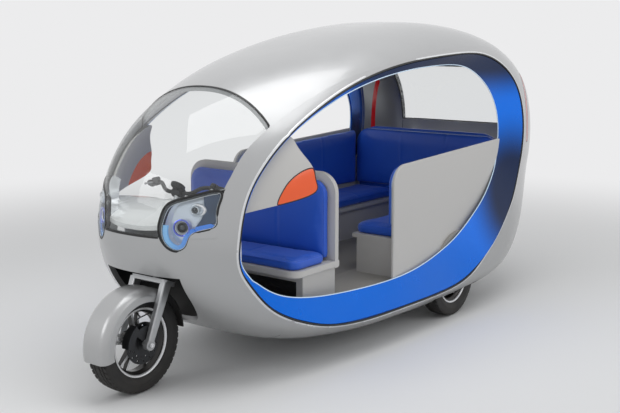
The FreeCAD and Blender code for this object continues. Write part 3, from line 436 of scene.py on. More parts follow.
def tubeFrom(corners, size, closed):
    # skin over rings of size corners each, with a cap at both ends of an open row
    count = len(corners) // size
    faces = []
    for i in range(count if closed else count - 1):
        k = (i + 1) % count
        for j in range(size):
            faces.append([i * size + j, i * size + (j + 1) % size, k * size + (j + 1) % size, k * size + j])
    if not closed:
        faces.append(list(range(size)))
        faces.append([(count - 1) * size + j for j in reversed(range(size))])
    bm = meshFrom(corners, faces)
    bmesh.ops.recalc_face_normals(bm, faces=bm.faces)
    return bm


def sweptSection(points, normals, section, closed=True):
    # a section of (across, up) pairs carried along a row of points
    count = len(points)
    corners = []
    for i, point in enumerate(points):
        before = points[i - 1] if closed or i > 0 else point
        after = points[(i + 1) % count] if closed or i < count - 1 else point
        ahead = (after - before).normalized()
        up = (normals[i] - ahead * normals[i].dot(ahead)).normalized()
        across = ahead.cross(up)
        corners.extend([point + across * a + up * b for a, b in section])
    return tubeFrom(corners, len(section), closed)


def domeSection(width, height, sunk, steps=6):
    # a flat strip with a rounded top; it reaches below the surface by sunk
    half = width / 2
    section = [(-half, -sunk)]
    for i in range(steps + 1):
        turn = math.pi * (1 - i / steps)
        section.append((half * math.cos(turn), height * math.sin(turn) ** 0.8))
    section.append((half, -sunk))
    return section


def ovalSection(wide, high, steps=10):
    # wide and high are half sizes
    turns = [2 * math.pi * i / steps for i in range(steps)]
    return [(wide * math.cos(t), high * math.sin(t)) for t in turns]


def skinTree():
    # the outer faces of body, glass and lamps, to lay trim on
    slots = ("body_paint", "clear_glazing", "lamp_clear", "lamp_red")
    inside = ("dashboard", "front_fender")
    corners, faces = [], []
    for name in nodes:
        if slotOf[name] in slots and name not in inside:
            bm = mergedCopy(name)
            for face in skinFaces(bm, skinLeast):
                start = len(corners)
                corners.extend([v.co.copy() for v in face.verts])
                faces.append(list(range(start, len(corners))))
            bm.free()
    return BVHTree.FromPolygons(corners, faces)


skin = skinTree()


def skinAt(point):
    return skin.find_nearest(point)[:2]


# glazing: thin moulded sheets in place of the frame's thick ones, with rubber seals; dark strips of painted
# shadow along the panel gaps on the shell
glazing = {"wall": 0.004, "curve": 1.2, "lampCornerX": 0.338, "lampCornerZ": 0.918}
# each strip: width, height, how far it reaches below the surface, and the spacing along its row
strips = {
    "window": (0.013, 0.0022, 0.003, 0.012),
    "indicator": (0.006, 0.0016, 0.003, 0.008),
    "gap": (0.0045, 0.0006, 0.002, 0.012),
    "headlamp": (0.009, 0.0016, 0.003, 0.006),
    "tailLamp": (0.005, 0.0008, 0.002, 0.006),
}


def thinSheet(name, node, finishName):
    bm = mergedCopy(node)
    keep = set(skinFaces(bm, skinLeast))
    bmesh.ops.delete(bm, geom=[f for f in bm.faces if f not in keep], context="FACES")
    obj = addPiece(name, bm, finishName, angle=glazing["curve"])
    addWall(obj, glazing["wall"])
    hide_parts(node)


def edgeStrip(name, node, strip, finishName="seal", leftOut=None):
    # leftOut tells which stretch of the row stays bare
    width, height, sunk, spacing = strips[strip]
    section = domeSection(width, height, sunk)
    bm = mergedCopy(node)
    points, normals, length = borderLoops(skinFaces(bm))[0]
    points, normals = evenRow(points, normals, spacing)
    bm.free()
    runs = [[]]
    for point, normal in zip(points, normals):
        if leftOut and leftOut(point):
            if runs[-1]:
                runs.append([])
        else:
            runs[-1].append((point, normal))
    closed = len(runs) == 1
    if not closed and runs[-1] and not leftOut(points[0]):
        runs[0] = runs.pop() + runs[0]
    for number, run in enumerate([r for r in runs if len(r) > 2]):
        mesh = sweptSection([p for p, n in run], [n for p, n in run], section, closed)
        addPiece(name + ("" if number == 0 else str(number)), mesh, finishName)


def underLamp(point):
    # the windscreen's lowest corners, which the painted corners under the lamps cover
    return abs(point.x) > glazing["lampCornerX"] and point.z < glazing["lampCornerZ"]


thinSheet("windscreenSheet", "windscreen", "clear_glazing")
thinSheet("rearWindowSheet", "rear_window", "clear_glazing")
edgeStrip("windscreenSeal", "windscreen", "window", leftOut=underLamp)
edgeStrip("rearWindowSeal", "rear_window", "window")
for side, sign in sides:
    edgeStrip("indicatorSeal_" + side, "indicator_" + side, "indicator")
# painted shadow: a dark strip round the roof, tail and belly panels where the gaps between panels lie
for part in ("roof", "tail", "belly"):
    edgeStrip(part + "Gap", part + "_panel", "gap", "shadowGap")
for side, sign in sides:
    thinSheet("headlampCover_" + side, "headlamp_" + side, "lamp_clear")
    edgeStrip("headlampSeal_" + side, "headlamp_" + side, "headlamp")
    edgeStrip("tailLampSeal_" + side, "tail_lamp_" + side, "tailLamp")
print("glazing and seals made")

# side openings: pale lip, black seal and an ice blue line at the inner edge, whose glow is a painted highlight
opening = {"lipWidth": 0.013, "lipHeight": 0.0028, "sealWidth": 0.011, "sealHeight": 0.002, "sunk": 0.005,
           "lineRadius": 0.003, "edgeStep": 0.0105, "spacing": 0.012, "lineRounds": 8, "facing": 0.5}


def revealRows(node, sign):
    # border rows of the face that shows: it looks out and towards the middle of the opening
    bm = mergedCopy(node)
    low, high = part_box(node)
    middle = (low + high) / 2
    faces = []
    for face in bm.faces:
        toMiddle = middle - face.calc_center_median()
        toMiddle.x = 0
        if face.normal.x * sign + face.normal.dot(toMiddle.normalized()) > opening["facing"]:
            faces.append(face)
    rows = borderLoops(faces)[:2]
    rows.sort(key=lambda r: -sum(abs(p.x) for p in r[0]) / len(r[0]))
    bm.free()
    return rows


def stepOutwards(points, step):
    # the row moved across the skin, away from the opening
    line, lifts = [], []
    for i, point in enumerate(points):
        ahead = (points[(i + 1) % len(points)] - points[i - 1]).normalized()
        away = ahead.cross(skinAt(point)[1]).normalized()
        if away.dot(point - hull["middle"]) < 0:
            away = -away
        spot, lift = skinAt(point + away * step)
        line.append(spot)
        lifts.append(lift)
    return evenRow(line, lifts, opening["spacing"])


for side, sign in sides:
    outerRow, innerRow = revealRows("reveal_" + side, sign)
    outerPoints = evenRow(outerRow[0], outerRow[1], opening["spacing"])[0]
    steps = {"lip": opening["edgeStep"] + opening["lipWidth"] / 2, "seal": opening["edgeStep"] / 2}
    for kind, step in steps.items():
        line, lifts = stepOutwards(outerPoints, step)
        section = domeSection(opening[kind + "Width"], opening[kind + "Height"], opening["sunk"])
        addPiece("opening" + kind.title() + "_" + side, sweptSection(line, lifts, section), kind)
    points, normals = evenRow(innerRow[0], innerRow[1], opening["spacing"], opening["lineRounds"])
    section = ovalSection(opening["lineRadius"], opening["lineRadius"])
    addPiece("revealLine_" + side, sweptSection(points, normals, section), "lightLine")
print("opening trims made")


def latheMesh(profile, centre, axis, steps=64, ring=False):
    # a (radius, reach) profile turned about an axis; a ring profile joins its last pair to its first
    axis = axis.normalized()
    side = axis.orthogonal().normalized()
    up = axis.cross(side)
    bm = bmesh.new()
    rings = []
    for radius, reach in profile:
        if radius < tiny:
            rings.append([bm.verts.new(centre + axis * reach)])
            continue
        row = []
        for i in range(steps):
            turn = 2 * math.pi * i / steps
            spoke = (side * math.cos(turn) + up * math.sin(turn)) * radius
            row.append(bm.verts.new(centre + axis * reach + spoke))
        rings.append(row)
    for a, b in zip(rings, rings[1:] + (rings[:1] if ring else [])):
        for i in range(steps):
            k = (i + 1) % steps
            if len(a) == 1:
                bm.faces.new([a[0], b[k], b[i]])
            elif len(b) == 1:
                bm.faces.new([a[i], a[k], b[0]])
            else:
                bm.faces.new([a[i], a[k], b[k], b[i]])
    bmesh.ops.recalc_face_normals(bm, faces=bm.faces)
    return bm


def addLathe(name, profile, centre, axis, finishName, body="body", steps=64, ring=False, angle=0.6):
    return addPiece(name, latheMesh(profile, centre, axis, steps, ring), finishName, body, angle)


def scaled(profile, size):
    # a profile whose radii are shares of a size
    return [(size * share, reach) for share, reach in profile]


def roundedBox(size, bevel, segments=2):
    bm = bmesh.new()
    bmesh.ops.create_cube(bm, size=1.0)
    bmesh.ops.scale(bm, vec=size, verts=bm.verts)
    edges = list(bm.edges) + list(bm.verts)
    bmesh.ops.bevel(bm, geom=edges, offset=bevel, segments=segments, affect="EDGES", profile=0.5)
    return bm


def placed(bm, place, ahead=Vector((1, 0, 0)), up=zAxis):
    # turns a mesh drawn at the origin so that its X runs ahead and its Z runs up
    ahead = ahead.normalized()
    up = (up - ahead * up.dot(ahead)).normalized()
    turn = Matrix((ahead, up.cross(ahead), up)).transposed().to_4x4()
    bmesh.ops.transform(bm, matrix=Matrix.Translation(place) @ turn, verts=bm.verts)
    return bm


def repeatTree():
    # sets a small part on every point, turned by the point's own out and along directions
    tree = bpy.data.node_groups.new("repeatPart", "GeometryNodeTree")
    kinds = {"points": "Geometry", "part": "Object", "size": "Float", "finish": "Material"}
    for socketName, kind in kinds.items():
        tree.interface.new_socket(socketName, in_out="INPUT", socket_type="NodeSocket" + kind)
    tree.interface.new_socket("result", in_out="OUTPUT", socket_type="NodeSocketGeometry")
    ins = addNode(tree, "NodeGroupInput").outputs
    outs = addNode(tree, "NodeGroupOutput")
    vector = {"data_type": "FLOAT_VECTOR"}
    away = addNode(tree, "GeometryNodeInputNamedAttribute", vector, Name="away").outputs[0]
    ahead = addNode(tree, "GeometryNodeInputNamedAttribute", vector, Name="along").outputs[0]
    axes = {"primary_axis": "Z", "secondary_axis": "X"}
    turn = addNode(tree, "FunctionNodeAxesToRotation", axes, i0=away, i1=ahead)
    info = addNode(tree, "GeometryNodeObjectInfo", Object=ins["part"])
    put = addNode(tree, "GeometryNodeInstanceOnPoints", Points=ins["points"],
                  Instance=info.outputs["Geometry"], Rotation=turn.outputs[0], Scale=ins["size"])
    real = addNode(tree, "GeometryNodeRealizeInstances", Geometry=put.outputs[0])
    dressed = addNode(tree, "GeometryNodeSetMaterial", Geometry=real.outputs[0], Material=ins["finish"])
    tree.links.new(dressed.outputs[0], outs.inputs[0])
    return tree


repeatGroup = repeatTree()


def evaluatedMesh(obj):
    bpy.context.view_layer.update()
    return bpy.data.meshes.new_from_object(obj.evaluated_get(bpy.context.evaluated_depsgraph_get()))


def repeatPart(name, places, part, finishName, body="body", angle=0.6, merged=False):
    # places: (point, away, along) for each copy of the small mesh part; merged joins copies that meet
    mesh = bpy.data.meshes.new(name + "Places")
    mesh.from_pydata([place[0] for place in places], [], [])
    for key, number in (("away", 1), ("along", 2)):
        attribute = mesh.attributes.new(key, "FLOAT_VECTOR", "POINT")
        for i, place in enumerate(places):
            attribute.data[i].vector = place[number]
    partObj = newObject(name + "Part", meshOf(name + "Part", part))
    holder = newObject(name + "Places", mesh)
    repeat = holder.modifiers.new("repeat", "NODES")
    repeat.node_group = repeatGroup
    values = {"part": partObj, "size": 1.0, "finish": materials[finishName]}
    for item in repeatGroup.interface.items_tree:
        if item.in_out == "INPUT" and item.name in values:
            repeat[item.identifier] = values[item.name]
    holder.update_tag()
    bm = bmesh.new()
    bm.from_mesh(evaluatedMesh(holder))
    if merged:
        bmesh.ops.remove_doubles(bm, verts=bm.verts, dist=weld)
        bmesh.ops.recalc_face_normals(bm, faces=bm.faces)
    holder.modifiers.remove(repeat)
    bpy.data.objects.remove(holder)
    bpy.data.objects.remove(partObj)
    return addPiece(name, bm, finishName, body, angle)


# a small bolt head with a flange, a chamfer and a socket: shares of its radius and of its height
boltShares = [(1.25, 0.0), (1.25, 0.15), (1.0, 0.18), (1.0, 0.9), (0.88, 1.0), (0.45, 1.0), (0.45, 0.55),
              (0.0, 0.5)]
hexSides = 6


def hexBolt(radius, height):
    rows = [(radius * a, height * b) for a, b in boltShares]
    return latheMesh(rows, Vector((0, 0, 0)), zAxis, hexSides)


# tyres: a moulded carcass with its tread cut in, in place of the plain ones
tread = {"pitches": 46, "depth": 0.0055, "sipe": 0.55, "slantDegrees": 7.0, "crown": 0.0045, "shoulder": 0.86}
# shares of the half width and of the wall height from the bead out to the shoulder
wallRows = [(0.70, 0.0), (0.745, 0.012), (0.775, 0.05), (0.80, 0.075), (0.83, 0.08), (0.88, 0.15),
            (0.93, 0.24), (0.968, 0.34), (0.985, 0.40), (0.998, 0.405), (1.0, 0.45), (0.998, 0.50),
            (0.985, 0.505), (0.978, 0.60), (0.965, 0.70), (0.952, 0.765), (0.958, 0.775), (0.940, 0.84),
            (0.905, 0.905)]
# across the tread from the shoulder to the middle, as shares of the half width
treadRows = [(0.86, "block"), (0.80, "block"), (0.70, "block"), (0.62, "block"), (0.605, "groove"),
             (0.535, "groove"), (0.52, "rib"), (0.41, "rib"), (0.30, "rib"), (0.285, "groove"),
             (0.215, "groove"), (0.20, "rib"), (0.10, "rib"), (0.0, "rib")]
# along one pitch of the tread: share, then whether a shoulder groove or a rib sipe lies there
pitchColumns = [(0.0, False, False), (0.03, True, True), (0.10, True, True), (0.13, True, False),
                (0.24, True, False), (0.27, False, False), (0.62, False, False), (1.0, False, False)]
# wheels: rim lips and valves
wheelSize = {"bead": 0.182, "lip": 0.0045, "lipSeat": 0.72, "valve": 0.0038, "valveDrop": 0.030,
             "valveShare": 0.55, "valveLean": -0.6, "lipSteps": 128, "valveSteps": 16, "discRadius": 0.1125,
             "discFrom": 0.0585, "faceOut": 0.975}
# the lip's round section and the valve's stem, as shares of the lip and of the valve's radius
lipShares = [(-2.2, -1.0), (-1.6, 0.3), (-0.6, 0.9), (0.4, 0.9), (0.9, 0.3), (0.2, 0.0), (-0.9, -0.2),
             (-1.4, -1.0)]
valveShares = [(0.0, -0.002), (1.7, -0.002), (1.5, 0.006), (1.0, 0.008), (1.0, 0.026), (0.7, 0.027),
               (0.7, 0.032), (0.0, 0.032)]
wheelBolt = {"count": 5, "ring": 0.031, "radius": 0.0055, "height": 0.006, "sunk": 0.0005}


def treadedTyre(name, node, body):
    low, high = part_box(node)
    centre = (low + high) / 2
    half, outer = (high.x - low.x) / 2, (high.z - low.z) / 2
    inner = wheelSize["bead"]
    rows = [(half * a, inner + (outer - tread["crown"] - inner) * b, "wall") for a, b in wallRows]
    for share, kind in treadRows:
        rows.append((half * share, outer - tread["crown"] * (share / tread["shoulder"]) ** 2, kind))
    rows = rows + [(-x, r, kind) for x, r, kind in reversed(rows[:-1])]
    sector = bmesh.new()
    grid = []
    for share, cut, sipe in pitchColumns:
        column = []
        for x, radius, kind in rows:
            drop = 0.0
            if kind == "groove" or (kind == "block" and cut):
                drop = tread["depth"]
            if kind == "rib" and sipe:
                drop = tread["depth"] * tread["sipe"]
            lean = math.radians(tread["slantDegrees"]) * min(abs(x) / half, tread["shoulder"])
            angle = 2 * math.pi * share / tread["pitches"] + lean
            reach = radius - drop
            column.append(sector.verts.new(Vector((x, -reach * math.sin(angle), reach * math.cos(angle)))))
        grid.append(column)
    for column, following in zip(grid, grid[1:]):
        for j in range(len(rows)):
            k = (j + 1) % len(rows)
            sector.faces.new([column[j], following[j], following[k], column[k]])
    turns = [2 * math.pi * i / tread["pitches"] for i in range(tread["pitches"])]
    places = [(centre, Vector((0, math.cos(t), math.sin(t))), Vector((1, 0, 0))) for t in turns]
    obj = repeatPart(name, places, sector, "tyre_rubber", body, 0.5, merged=True)
    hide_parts(node)
    return centre, half


def paintRim(node, centre):
    # polished faces on the cast wheel, black in its hollows, and a steel brake disc
    rim = nodes[node]
    rim.data.materials.append(materials["machined"])
    rim.data.materials.append(materials["discSteel"])
    for face in rim.data.polygons:
        away = face.center - centre
        reach = math.hypot(away.y, away.z)
        if node == "front_rim" and reach < wheelSize["discRadius"] and away.x > wheelSize["discFrom"]:
            face.material_index = 2
        elif abs(face.normal.x) > wheelSize["faceOut"]:
            face.material_index = 1


def wheelTrim(name, node, body, rimNode, outside):
    centre, half = treadedTyre("tyre" + name, node, body)
    bead, lip = wheelSize["bead"], wheelSize["lip"]
    edge = half * wheelSize["lipSeat"]
    profile = [(bead + lip * a, edge + lip * b) for a, b in lipShares]
    for lipSide, sign in sides:
        addLathe("rimLip" + name + lipSide.title(), profile, centre, Vector((sign, 0, 0)), "machined", body,
                 wheelSize["lipSteps"], ring=True)
    valveAt = centre + Vector((outside * edge * wheelSize["valveShare"], 0.0, bead - wheelSize["valveDrop"]))
    stem = scaled(valveShares, wheelSize["valve"])
    lean = Vector((outside, 0, wheelSize["valveLean"]))
    addLathe("valve" + name, stem, valveAt, lean, "seal", body, wheelSize["valveSteps"])
    paintRim(rimNode, centre)
    return centre


frontCentre = wheelTrim("Front", "front_tyre", "front_wheel", "front_rim", 1)
for side, sign in sides:
    body = "rear_wheel_" + side
    centre = wheelTrim("Rear" + side.title(), "rear_tyre_" + side, body, "rear_rim_" + side, sign)
    low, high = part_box("rear_rim_" + side)
    hub = Vector((high.x if sign > 0 else low.x, centre.y, centre.z))
    ring = []
    for i in range(wheelBolt["count"]):
        turn = 2 * math.pi * i / wheelBolt["count"]
        spot = hub + Vector((0, math.cos(turn), math.sin(turn))) * wheelBolt["ring"]
        ring.append((spot - Vector((sign * wheelBolt["sunk"], 0, 0)), Vector((sign, 0, 0)), zAxis))
    bolt = hexBolt(wheelBolt["radius"], wheelBolt["height"])
    repeatPart("wheelBolts_" + side, ring, bolt, "machined", body)
print("wheels dressed")

# headlamps: black frame, chrome projector and side lamp, mesh panel and blue light guide behind the cover
lamp = {"aim": Vector((0.42, -0.90, 0.04)), "spacing": 0.006, "frameThin": 0.007, "frameWide": 0.018,
        "frameRise": Vector((-0.5, 0.87)), "frameGrow": 1.4, "frameEdge": 0.0015, "frameDepth": 0.0055,
        "frameBack": 0.026, "lineRadius": 0.0015, "lineDepth": 0.0065, "step": 0.002}
guide = {"gap": 0.001, "wide": 0.023, "rounds": 6, "front": 0.011, "back": 0.021, "below": 0.915, "endX": 0.4,
         "endZ": 0.9}
# the two barrels: place as (x, z), depth under the cover and radius
projector = {"at": (0.293, 0.8945), "depth": 0.020, "radius": 0.046}
sideLamp = {"at": (0.341, 0.982), "depth": 0.015, "radius": 0.026, "across": Vector((0.9, 0.42, 0)),
            "stretch": 0.55, "shift": 0.006}
# their turned parts: finish, steps, smooth angle, then (share of the radius, reach) round a closed ring
projectorParts = {
    "projectorRing": ("violetChrome", 72, 0.6, [
        (0.86, -0.046), (0.93, -0.012), (0.98, -0.003), (0.95, 0.0015), (0.88, 0.003), (0.80, 0.001),
        (0.765, -0.004), (0.75, -0.014)]),
    "projectorBowl": ("lamp_housing", 72, 0.4, [
        (0.752, -0.006), (0.70, -0.009), (0.70, -0.012), (0.62, -0.017), (0.62, -0.020), (0.55, -0.026),
        (0.55, -0.045), (0.752, -0.045)]),
    "projectorCollar": ("lampBlack", 56, 0.6, [
        (0.545, -0.045), (0.545, -0.010), (0.52, -0.007), (0.49, -0.008), (0.49, -0.045)]),
}
bezelShares = [(1.28, -0.030), (1.28, -0.004), (1.20, 0.001), (1.08, 0.0022), (0.98, 0.0), (0.92, -0.006),
               (0.86, -0.012), (0.80, -0.030)]
sideParts = {
    "sideRing": ("lamp_housing", 48, 0.6, [
        (0.80, -0.035), (0.80, 0.001), (0.74, 0.003), (0.68, 0.001), (0.66, -0.010), (0.66, -0.035)]),
}
# their domed lenses: share of the radius, the rim's reach, bulge, back's reach, degrees a step, and steps round
projectorLens = (0.488, -0.030, 0.021, -0.044, 9, 48)
sideLens = (0.655, -0.016, 0.012, -0.034, 10, 40)
# mesh panel's corners as (x, z), and its honeycomb of small raised cells
meshPanel = [(0.352, 0.900), (0.4235, 0.914), (0.4225, 1.046), (0.412, 1.061), (0.385, 1.058), (0.362, 1.052),
             (0.372, 1.010), (0.377, 0.970), (0.370, 0.935)]
honeycomb = {"depth": 0.016, "thick": 0.006, "pitch": 0.0075, "rows": 40, "columns": 30, "fromX": 0.345,
             "fromZ": 0.895, "rowStep": 0.866, "margin": 0.5, "angle": 0.3}
cellShares = [(0.52, -0.0015), (0.50, 0.0012), (0.40, 0.0012), (0.38, -0.0015)]


def lampPoint(sign, x, z, depth):
    # the point behind the skin at (x, z), seen from the front
    before, reach = 3.0, 4.0
    hit = skin.ray_cast(Vector((sign * x, -before, z)), Vector((0, 1, 0)), reach)[0]
    if hit is None:
        hit = skinAt(Vector((sign * x, -before / 2, z)))[0]
    return Vector((sign * x, hit.y + depth, z))


def lampOutline():
    # the left cover's outline as (x, z), evenly spaced, with its outward direction
    bm = mergedCopy("headlamp_left")
    points, normals, length = borderLoops(skinFaces(bm))[0]
    points, normals = evenRow(points, normals, lamp["spacing"])
    bm.free()
    flat = [Vector((p.x, p.z)) for p in points]
    turnSum = sum(flat[i - 1].x * flat[i].y - flat[i].x * flat[i - 1].y for i in range(len(flat)))
    if turnSum < 0:
        flat.reverse()
    away = []
    for i in range(len(flat)):
        step = (flat[(i + 2) % len(flat)] - flat[i - 2]).normalized()
        away.append(Vector((step.y, -step.x)))
    return flat, away


lampRim, lampRimAway = lampOutline()


def frameWidth(away):
    # the frame is wide along the lamp's upper edge and thin elsewhere
    upper = max(0.0, away.dot(lamp["frameRise"]))
    return lamp["frameThin"] + (lamp["frameWide"] - lamp["frameThin"]) * min(1.0, upper * lamp["frameGrow"])


def insetRow(reach, rounds=3):
    row = [p - a * reach(a) for p, a in zip(lampRim, lampRimAway)]
    for turn in range(rounds):
        row = eased(row)
    return row


def lampBand(sign, outerRow, innerRow, front, back, closed=True):
    # strip between two (x, z) rows, from its front depth to its back depth under the skin
    corners = []
    for a, b in zip(outerRow, innerRow):
        corners.append(lampPoint(sign, a.x, a.y, front))
        corners.append(lampPoint(sign, b.x, b.y, front + lamp["step"]))
        corners.append(lampPoint(sign, b.x, b.y, back))
        corners.append(lampPoint(sign, a.x, a.y, back))
    return tubeFrom(corners, 4, closed)


def guideRows():
    # the light guide runs from the left end round the bottom and up to the right end
    inner = insetRow(lambda a: frameWidth(a) + guide["gap"])
    deep = insetRow(lambda a: frameWidth(a) + guide["wide"], guide["rounds"])
    low = [i for i, p in enumerate(lampRim) if p.y < guide["below"]]
    chosen = [i for i in low if not (lampRim[i].y > guide["endZ"] and lampRim[i].x > guide["endX"])]
    start = [i for i in chosen if (i - 1) % len(lampRim) not in chosen][0]
    row = [(start + k) % len(lampRim) for k in range(len(chosen))]
    return [inner[i] for i in row], [deep[i] for i in row]


def addRings(parts, side, size, spot, aim):
    for name, (finishName, steps, angle, shares) in parts.items():
        addLathe(name + "_" + side, scaled(shares, size), spot, aim, finishName, ring=True, steps=steps,
                 angle=angle)


def addLens(name, lens, size, spot, aim):
    share, rim, bulge, back, step, steps = lens
    turns = [math.radians(t) for t in range(90, 0, -step)]
    dome = [(size * share * math.sin(t), rim + bulge * math.cos(t)) for t in turns]
    profile = [(0.0, back), (size * share, back)] + dome + [(0.0, rim + bulge)]
    addLathe(name, profile, spot, aim, "darkLens", steps=steps)


def addSideBezel(side, sign, spot, aim):
    # a chrome surround, drawn out to an oval towards the side
    size = sideLamp["radius"]
    bm = latheMesh(scaled(bezelShares, size), spot, aim, ring=True)
    across = sideLamp["across"] * Vector((sign, 1, 1))
    across.normalize()
    for vert in bm.verts:
        reach = (vert.co - spot).dot(across)
        if reach > 0:
            vert.co += across * reach * sideLamp["stretch"]
        vert.co += across * sideLamp["shift"]
    bmesh.ops.recalc_face_normals(bm, faces=bm.faces)
    addPiece("sideBezel_" + side, bm, "lip")


def insidePanel(spot, shape):
    # whether a point lies inside the panel, clear of its edge
    inside = False
    nearest = 1.0
    for i in range(len(shape)):
        a, b = shape[i - 1], shape[i]
        if (a.y > spot.y) != (b.y > spot.y) and spot.x < (b.x - a.x) * (spot.y - a.y) / (b.y - a.y) + a.x:
            inside = not inside
        share = max(0.0, min(1.0, (spot - a).dot(b - a) / (b - a).length_squared))
        nearest = min(nearest, (a.lerp(b, share) - spot).length)
    return inside and nearest > honeycomb["pitch"] * honeycomb["margin"]


def addMeshPanel(side, sign):
    corners = [lampPoint(sign, x, z, honeycomb["depth"]) for x, z in meshPanel]
    corners += [lampPoint(sign, x, z, honeycomb["depth"] + honeycomb["thick"]) for x, z in meshPanel]
    count = len(meshPanel)
    faces = [list(range(count)), [count + i for i in reversed(range(count))]]
    faces += [[i, count + i, count + (i + 1) % count, (i + 1) % count] for i in range(count)]
    bm = meshFrom(corners, faces)
    bmesh.ops.triangulate(bm, faces=[f for f in bm.faces if len(f.verts) > 4])
    bmesh.ops.recalc_face_normals(bm, faces=bm.faces)
    addPiece("meshBacking_" + side, bm, "lampMesh", angle=honeycomb["angle"])
    cells = []
    pitch = honeycomb["pitch"]
    shape = [Vector(c) for c in meshPanel]
    for row in range(honeycomb["rows"]):
        for column in range(honeycomb["columns"]):
            x = honeycomb["fromX"] + (column + 0.5 * (row % 2)) * pitch
            spot = Vector((x, honeycomb["fromZ"] + row * pitch * honeycomb["rowStep"]))
            if insidePanel(spot, shape):
                place = lampPoint(sign, spot.x, spot.y, honeycomb["depth"])
                cells.append((place, skinAt(place)[1], zAxis))
    cell = latheMesh(scaled(cellShares, pitch), Vector((0, 0, 0)), zAxis, hexSides, ring=True)
    repeatPart("meshCells_" + side, cells, cell, "lampMeshRib", angle=honeycomb["angle"])


for side, sign in sides:
    edge = insetRow(lambda a: lamp["frameEdge"], 1)
    inner = insetRow(frameWidth)
    frameMesh = lampBand(sign, edge, inner, lamp["frameDepth"], lamp["frameBack"])
    addPiece("lampFrame_" + side, frameMesh, "lampBlack", angle=0.5)
    line = [lampPoint(sign, p.x, p.y, lamp["lineDepth"]) for p in inner]
    line, ups = evenRow(line, [skinAt(p)[1] for p in line], lamp["spacing"])
    section = ovalSection(lamp["lineRadius"], lamp["lineRadius"])
    addPiece("lampLine_" + side, sweptSection(line, ups, section), "lip")
    first, second = guideRows()
    guideMesh = lampBand(sign, first, second, guide["front"], guide["back"], False)
    addPiece("lightGuide_" + side, guideMesh, "lightGuide", angle=0.5)
    aim = (lamp["aim"] * Vector((sign, 1, 1))).normalized()
    spot = lampPoint(sign, *projector["at"], projector["depth"])
    addRings(projectorParts, side, projector["radius"], spot, aim)
    addLens("projectorLens_" + side, projectorLens, projector["radius"], spot, aim)
    spot = lampPoint(sign, *sideLamp["at"], sideLamp["depth"])
    addSideBezel(side, sign, spot, aim)
    addRings(sideParts, side, sideLamp["radius"], spot, aim)
    addLens("sideLens_" + side, sideLens, sideLamp["radius"], spot, aim)
    addMeshPanel(side, sign)
print("headlamps made")

# padded pieces: each blank is drawn a little small, then swells with a short cloth simulation
padding = {"pressure": 4.0, "frames": 18, "quality": 4, "pipe": 0.0034, "pipeSunk": 0.3, "pipeSteps": 8,
           "pipeSpacing": 0.012, "stitchGap": 0.0085, "stitchLift": 0.0004, "groove": 0.0035,
           "thread": Vector((0.0052, 0.0011, 0.0011)), "threadBevel": 0.0004, "threadAngle": 0.9,
           "mirroredFill": 0.75}


def roundedOutline(corners, radii, steps=7):
    # flat outline through corners, each turned with its own radius
    result = []
    count = len(corners)
    for i in range(count):
        here = Vector(corners[i])
        before = (Vector(corners[i - 1]) - here).normalized()
        after = (Vector(corners[(i + 1) % count]) - here).normalized()
        turn = before.angle(after)
        reach = radii[i] / math.tan(turn / 2)
        centre = here + (before + after).normalized() * radii[i] / math.sin(turn / 2)
        first, last = here + before * reach - centre, here + after * reach - centre
        for k in range(steps + 1):
            spoke = first.lerp(last, k / steps).normalized() * radii[i]
            result.append(centre + spoke)
    return result


def fourSided(left, right, base, top, radii, leftTop=None):
    # radii from the lower left corner round by the lower right one
    corners = [(left, base), (right, base), (right, top), (left, top if leftTop is None else leftTop)]
    return roundedOutline(corners, radii)


def inSpace(flat, height, axes):
    point = Vector((0, 0, 0))
    point[axes[0]], point[axes[1]], point[axes[2]] = flat[0], flat[1], height
    return point


def padBlank(name, outline, low, high, axes, bevel, voxel):
    # the outline drawn up from low to high along the last axis, remeshed evenly for the cloth
    bm = bmesh.new()
    bottom = [bm.verts.new(inSpace(p, low, axes)) for p in outline]
    top = [bm.verts.new(inSpace(p, high, axes)) for p in outline]
    bm.faces.new(bottom)
    bm.faces.new(list(reversed(top)))
    for i in range(len(outline)):
        k = (i + 1) % len(outline)
        bm.faces.new([bottom[i], top[i], top[k], bottom[k]])
    bmesh.ops.recalc_face_normals(bm, faces=bm.faces)
    rims = [e for e in bm.edges if abs(e.verts[0].co[axes[2]] - e.verts[1].co[axes[2]]) < tiny]
    bmesh.ops.bevel(bm, geom=rims, offset=bevel, segments=3, affect="EDGES", profile=0.5)
    obj = newObject(name, meshOf(name, bm))
    remesh = obj.modifiers.new("remesh", "REMESH")
    remesh.mode = "VOXEL"
    remesh.voxel_size = voxel
    made = evaluatedMesh(obj)
    obj.modifiers.remove(remesh)
    obj.data = made
    bm = bmesh.new()
    bm.from_mesh(made)
    for turn in range(3):
        bmesh.ops.smooth_vert(bm, verts=bm.verts, factor=0.5, use_axis_x=True, use_axis_y=True,
                              use_axis_z=True)
    bm.to_mesh(made)
    bm.free()
    return obj


def swell(obj, cap, axis, restSide):
    # restSide is the way the pad rests along the axis: it stays flat there
    before = [v.co.copy() for v in obj.data.vertices]
    facing = [v.normal[axis] * restSide for v in obj.data.vertices]
    cloth = obj.modifiers.new("stuffing", "CLOTH")
    settings = cloth.settings
    settings.quality = padding["quality"]
    settings.use_pressure = True
    settings.uniform_pressure_force = padding["pressure"]
    settings.effector_weights.gravity = 0.0
    cloth.collision_settings.use_self_collision = False
    for number in range(1, padding["frames"] + 1):
        scene.frame_set(number)
    evaluated = obj.evaluated_get(bpy.context.evaluated_depsgraph_get())
    after = [v.co.copy() for v in evaluated.data.vertices]
    obj.modifiers.remove(cloth)
    scene.frame_set(1)
    for vert, start, end, rests in zip(obj.data.vertices, before, after, facing):
        move = end - start
        if rests > 0.5:
            move[axis] = 0.0
        if move.length > cap:
            move = move.normalized() * cap
        vert.co = start + move
    print(obj.name, "swelled")


